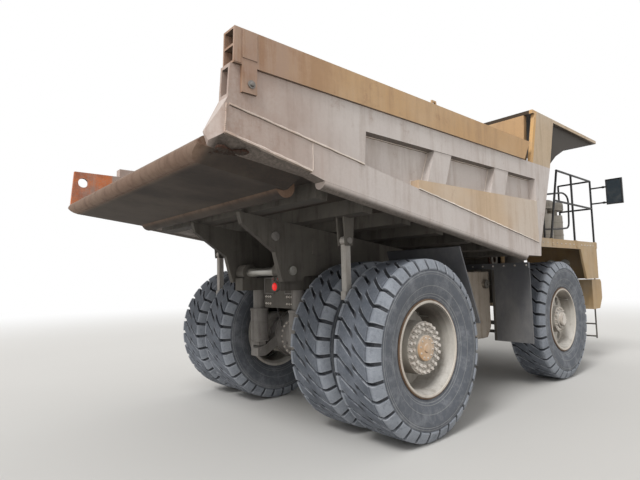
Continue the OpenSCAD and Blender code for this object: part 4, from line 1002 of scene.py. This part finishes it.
def cushionOutline(half, t):
    # a superellipse that is pulled in between its corners
    pull = 1 - seatSet["pinch"] * np.cos(2 * t) ** 2
    return half[0] * power(np.cos(t), 0.38) * pull, half[1] * power(np.sin(t), 0.38) * pull


def cushion(half, turnY, centre, crown=1.0):
    # a superellipsoid on that outline, crowned on top, with sewn channels across it, and piping round it
    t = np.arange(96) * 2 * math.pi / 96
    around, over = np.meshgrid(t, np.linspace(-math.pi / 2, math.pi / 2, 41))
    x, y = (side * power(np.cos(over), 0.42) for side in cushionOutline(half, around))
    z = half[2] * power(np.sin(over), 0.8)
    bulge = np.clip(1 - (x / half[0]) ** 2, 0, 1) * np.clip(1 - (y / half[1]) ** 2, 0, 1)
    z = np.where(z > 0, z * (1 + seatSet["crown"] * crown * bulge), z * (1 - 0.1 * bulge))
    for place in seatSet["channels"]:
        away = (x - place * half[0] / seatSet["channelSpan"]) / seatSet["channelWidth"]
        z -= np.where(z > 0, seatSet["channelDepth"] * np.exp(-away ** 2) * bulge ** 0.25, 0)
    points = np.stack([x, y, z], -1).reshape(-1, 3)
    faces = outward(points, gridFaces(41, 96, ringColumns=True))
    seamX, seamY = cushionOutline(half, t)
    piping = tube(np.stack([seamX * 1.004, seamY * 1.004, 0 * t], -1), 0.005, upward, 8, loop=True)
    turn = np.array(Matrix.Rotation(turnY, 3, "Y"))
    return [(p @ turn.T + fromAxle(centre), f) for p, f in ((points, faces), piping)]


def seatPieces():
    # two cushions with their piping, and the stand under them
    middle = seatSet["y"]
    pads = {"seat_cushion": cushion((0.245, 0.232, 0.058), 0.0, [4.17, middle, 2.862]),
            "seat_back": cushion((0.300, 0.212, 0.050), math.radians(-102.3), [3.915, middle, 3.245], 0.7)}
    for name, (pad, piping) in pads.items():
        piece = addPiece(name, [pad], "seat_fabric", sharp=180.0)
        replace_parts(piece, "seat")
        trim = addPiece(name + "_piping", [piping], "seat_fabric", finish="black_tube")
        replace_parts(trim, "seat")
    # stand: base plate, pleated boot as a rounded square whose size pulses with height, pan and back frame
    t, rows = np.arange(48) * 2 * math.pi / 48, np.linspace(0, 1, 29)[:, None]
    size = 0.122 + 0.010 * np.cos(rows * 2 * math.pi * 6)
    size[0], size[-1] = 0, 0
    boot = np.stack([power(np.cos(t), 0.5) * size, power(np.sin(t), 0.5) * size, rows * 0.17 + 0 * t], -1)
    boot = boot.reshape(-1, 3) + fromAxle([4.15, middle, 2.60])
    faces = outward(boot - boot.mean(0), gridFaces(29, 48, ringColumns=True))
    piece = addPiece("seat_boot", [(boot, faces)], "rubber", sharp=60.0)
    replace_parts(piece, "seat")
    bar = [[3.93, 2.79], [3.955, 2.79], [3.845, 3.45], [3.82, 3.45]]
    stand = [box([4.00, 0.85, 2.5705], [4.30, 1.15, 2.602]), box([3.95, 0.80, 2.768], [4.38, 1.20, 2.806]),
             slab(bar, 0.86, 0.90), slab(bar, 1.10, 1.14)]
    piece = addPiece("seat_frame", stand, "black_tube", bevel=0.006)
    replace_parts(piece, "seat")


seatPieces()

# heights of the windows, and how far out their seals lie on the side, the rear, the front and the door
cabSet = {"top": 4.120, "sill": 3.280, "side": 0.419, "rear": 3.619, "front": 5.191, "door": 1.602}
top, sill = cabSet["top"], cabSet["sill"]


def sealLoop(corners, radius, normal):
    # a closed tube whose corners are rounded
    return tube(fromAxle(bent(corners, 0.035, 6, loop=True)), radius, normal, 8, loop=True)


side, rear, front, door = (cabSet[key] for key in ("side", "rear", "front", "door"))
# the front glass slopes back to lean at its top, which is as high as tip
high, lean, tip = top - 0.15, front - 0.1085, top - 0.14
windows = [[leftward, [3.80, side, sill], [3.80, side, high], [4.90, side, high], [5.01, side, sill]],
           [forward, [rear, 0.57, sill], [rear, 1.45, sill], [rear, 1.45, high], [rear, 0.57, high]],
           [(1, 0, 0.13), [front, 0.54, sill], [front, 1.48, sill], [lean, 1.48, tip], [lean, 0.54, tip]]]
seals = [sealLoop(corners, 0.009, normal) for normal, *corners in windows]
addPiece("window_seals", seals, "rubber", finish="seal")
low, high = 3.30, top - 0.21
doorWindow = [[4.00, door, low], [4.70, door, low], [4.70, door, high], [4.00, door, high]]
addPiece("door_seal", [sealLoop(doorWindow, 0.008, leftward)], "rubber", "door", "seal")
grip = bent([[3.975, 1.645, 3.175], [3.975, 1.652, 3.165], [4.10, 1.652, 3.165], [4.13, 1.645, 3.165]], 0.01)
lock = [[0, 0], [0, 0.016], [0.006, 0.016], [0.008, 0.012], [0.008, 0]]
handle = [tube(fromAxle(grip), 0.010, flat=0.6), spun(lock, [4.0, 1.600, 3.09], leftward, 20)]
addPiece("door_handle", handle, "black_tube", "door")
boss = [[-0.02, 0], [-0.02, 0.020], [0.018, 0.020], [0.022, 0.012], [0.022, 0]]
wiper = [tube(fromAxle([[5.215, 1.00, 3.20], [5.205, 1.02, 3.30], [5.163, 1.20, 3.62]]), 0.008, upward, 8),
         tube(fromAxle([[5.196, 1.10, 3.36], [5.130, 1.30, 3.88]]), 0.010, forward, 8),
         spun(boss, [5.205, 1.0, 3.19], forward, 20)]
addPiece("wiper", wiper, "black_tube")
dial = [[-0.004, 0], [-0.004, 0.034], [0.006, 0.034], [0.010, 0.031], [0.006, 0.027], [0.005, 0]]
dials = [spun(dial, [4.905, y, 3.122], (-0.79, 0, 0.61), 28) for y in (0.86, 0.95, 1.05, 1.14)]
addPiece("dials", dials, "black_tube")
print("cab trim made")


# Floor, world and sun

floorSet = {"half": 60.0, "near": 10.0, "far": 30.0, "colour": tone(214, 212, 208)}


def floorShade():
    # pale floor that turns to plain white with the distance from the truck
    s = Shade("floor")
    away = s.node("ShaderNodeVectorMath", {"operation": "LENGTH"}, {0: s.place()}, output="Value")
    soft = s.noise(0.4, 4.0)
    pale = s.mix(soft * 0.25, floorSet["colour"], tone(198, 196, 192))
    surface = s.node("ShaderNodeBsdfPrincipled", values={"Base Color": pale, "Roughness": 0.9})
    white = s.node("ShaderNodeEmission", values={"Color": (1, 1, 1, 1), "Strength": 1.0})
    seen = s.node("ShaderNodeLightPath", output="Is Camera Ray")
    far = s.band(away, floorSet["near"], floorSet["far"]) * seen
    both = s.node("ShaderNodeMixShader", values={0: far, 1: surface, 2: white})
    s.node("ShaderNodeOutputMaterial", values={"Surface": both})
    return s.material


half = floorSet["half"]
floorMesh = bpy.data.meshes.new("floor")
corners = [(-half, -half, 0), (half, -half, 0), (half, half, 0), (-half, half, 0)]
floorMesh.from_pydata(corners, [], [(0, 1, 2, 3)])
floorMesh.materials.append(floorShade())
floor = bpy.data.objects.new("floor", floorMesh)
bpy.context.scene.collection.objects.link(floor)

lightSet = {"sky": 0.62, "sun": 1.9, "sunTurn": (42.0, 0.0, -75.0), "sunSize": 18.0}
world = bpy.data.worlds.new("studio")
bpy.context.scene.world = world
w = Shade("studio", world)
rays = [w.node("ShaderNodeLightPath", output="Is %s Ray" % kind)
        for kind in ("Camera", "Glossy", "Transmission")]
seen = w.band(rays[0] + rays[1] + rays[2], 0.0, 1.0)
sky = w.node("ShaderNodeBackground", values={"Color": (1, 1, 1, 1), "Strength": lightSet["sky"]})
white = w.node("ShaderNodeBackground", values={"Color": (1, 1, 1, 1), "Strength": 1.0})
both = w.node("ShaderNodeMixShader", values={0: seen, 1: sky, 2: white})
w.node("ShaderNodeOutputWorld", values={"Surface": both})

sunData = bpy.data.lights.new("sun", "SUN")
sunData.energy, sunData.angle = lightSet["sun"], math.radians(lightSet["sunSize"])
sun = bpy.data.objects.new("sun", sunData)
sun.rotation_euler = [math.radians(a) for a in lightSet["sunTurn"]]
bpy.context.scene.collection.objects.link(sun)
print("studio ready")
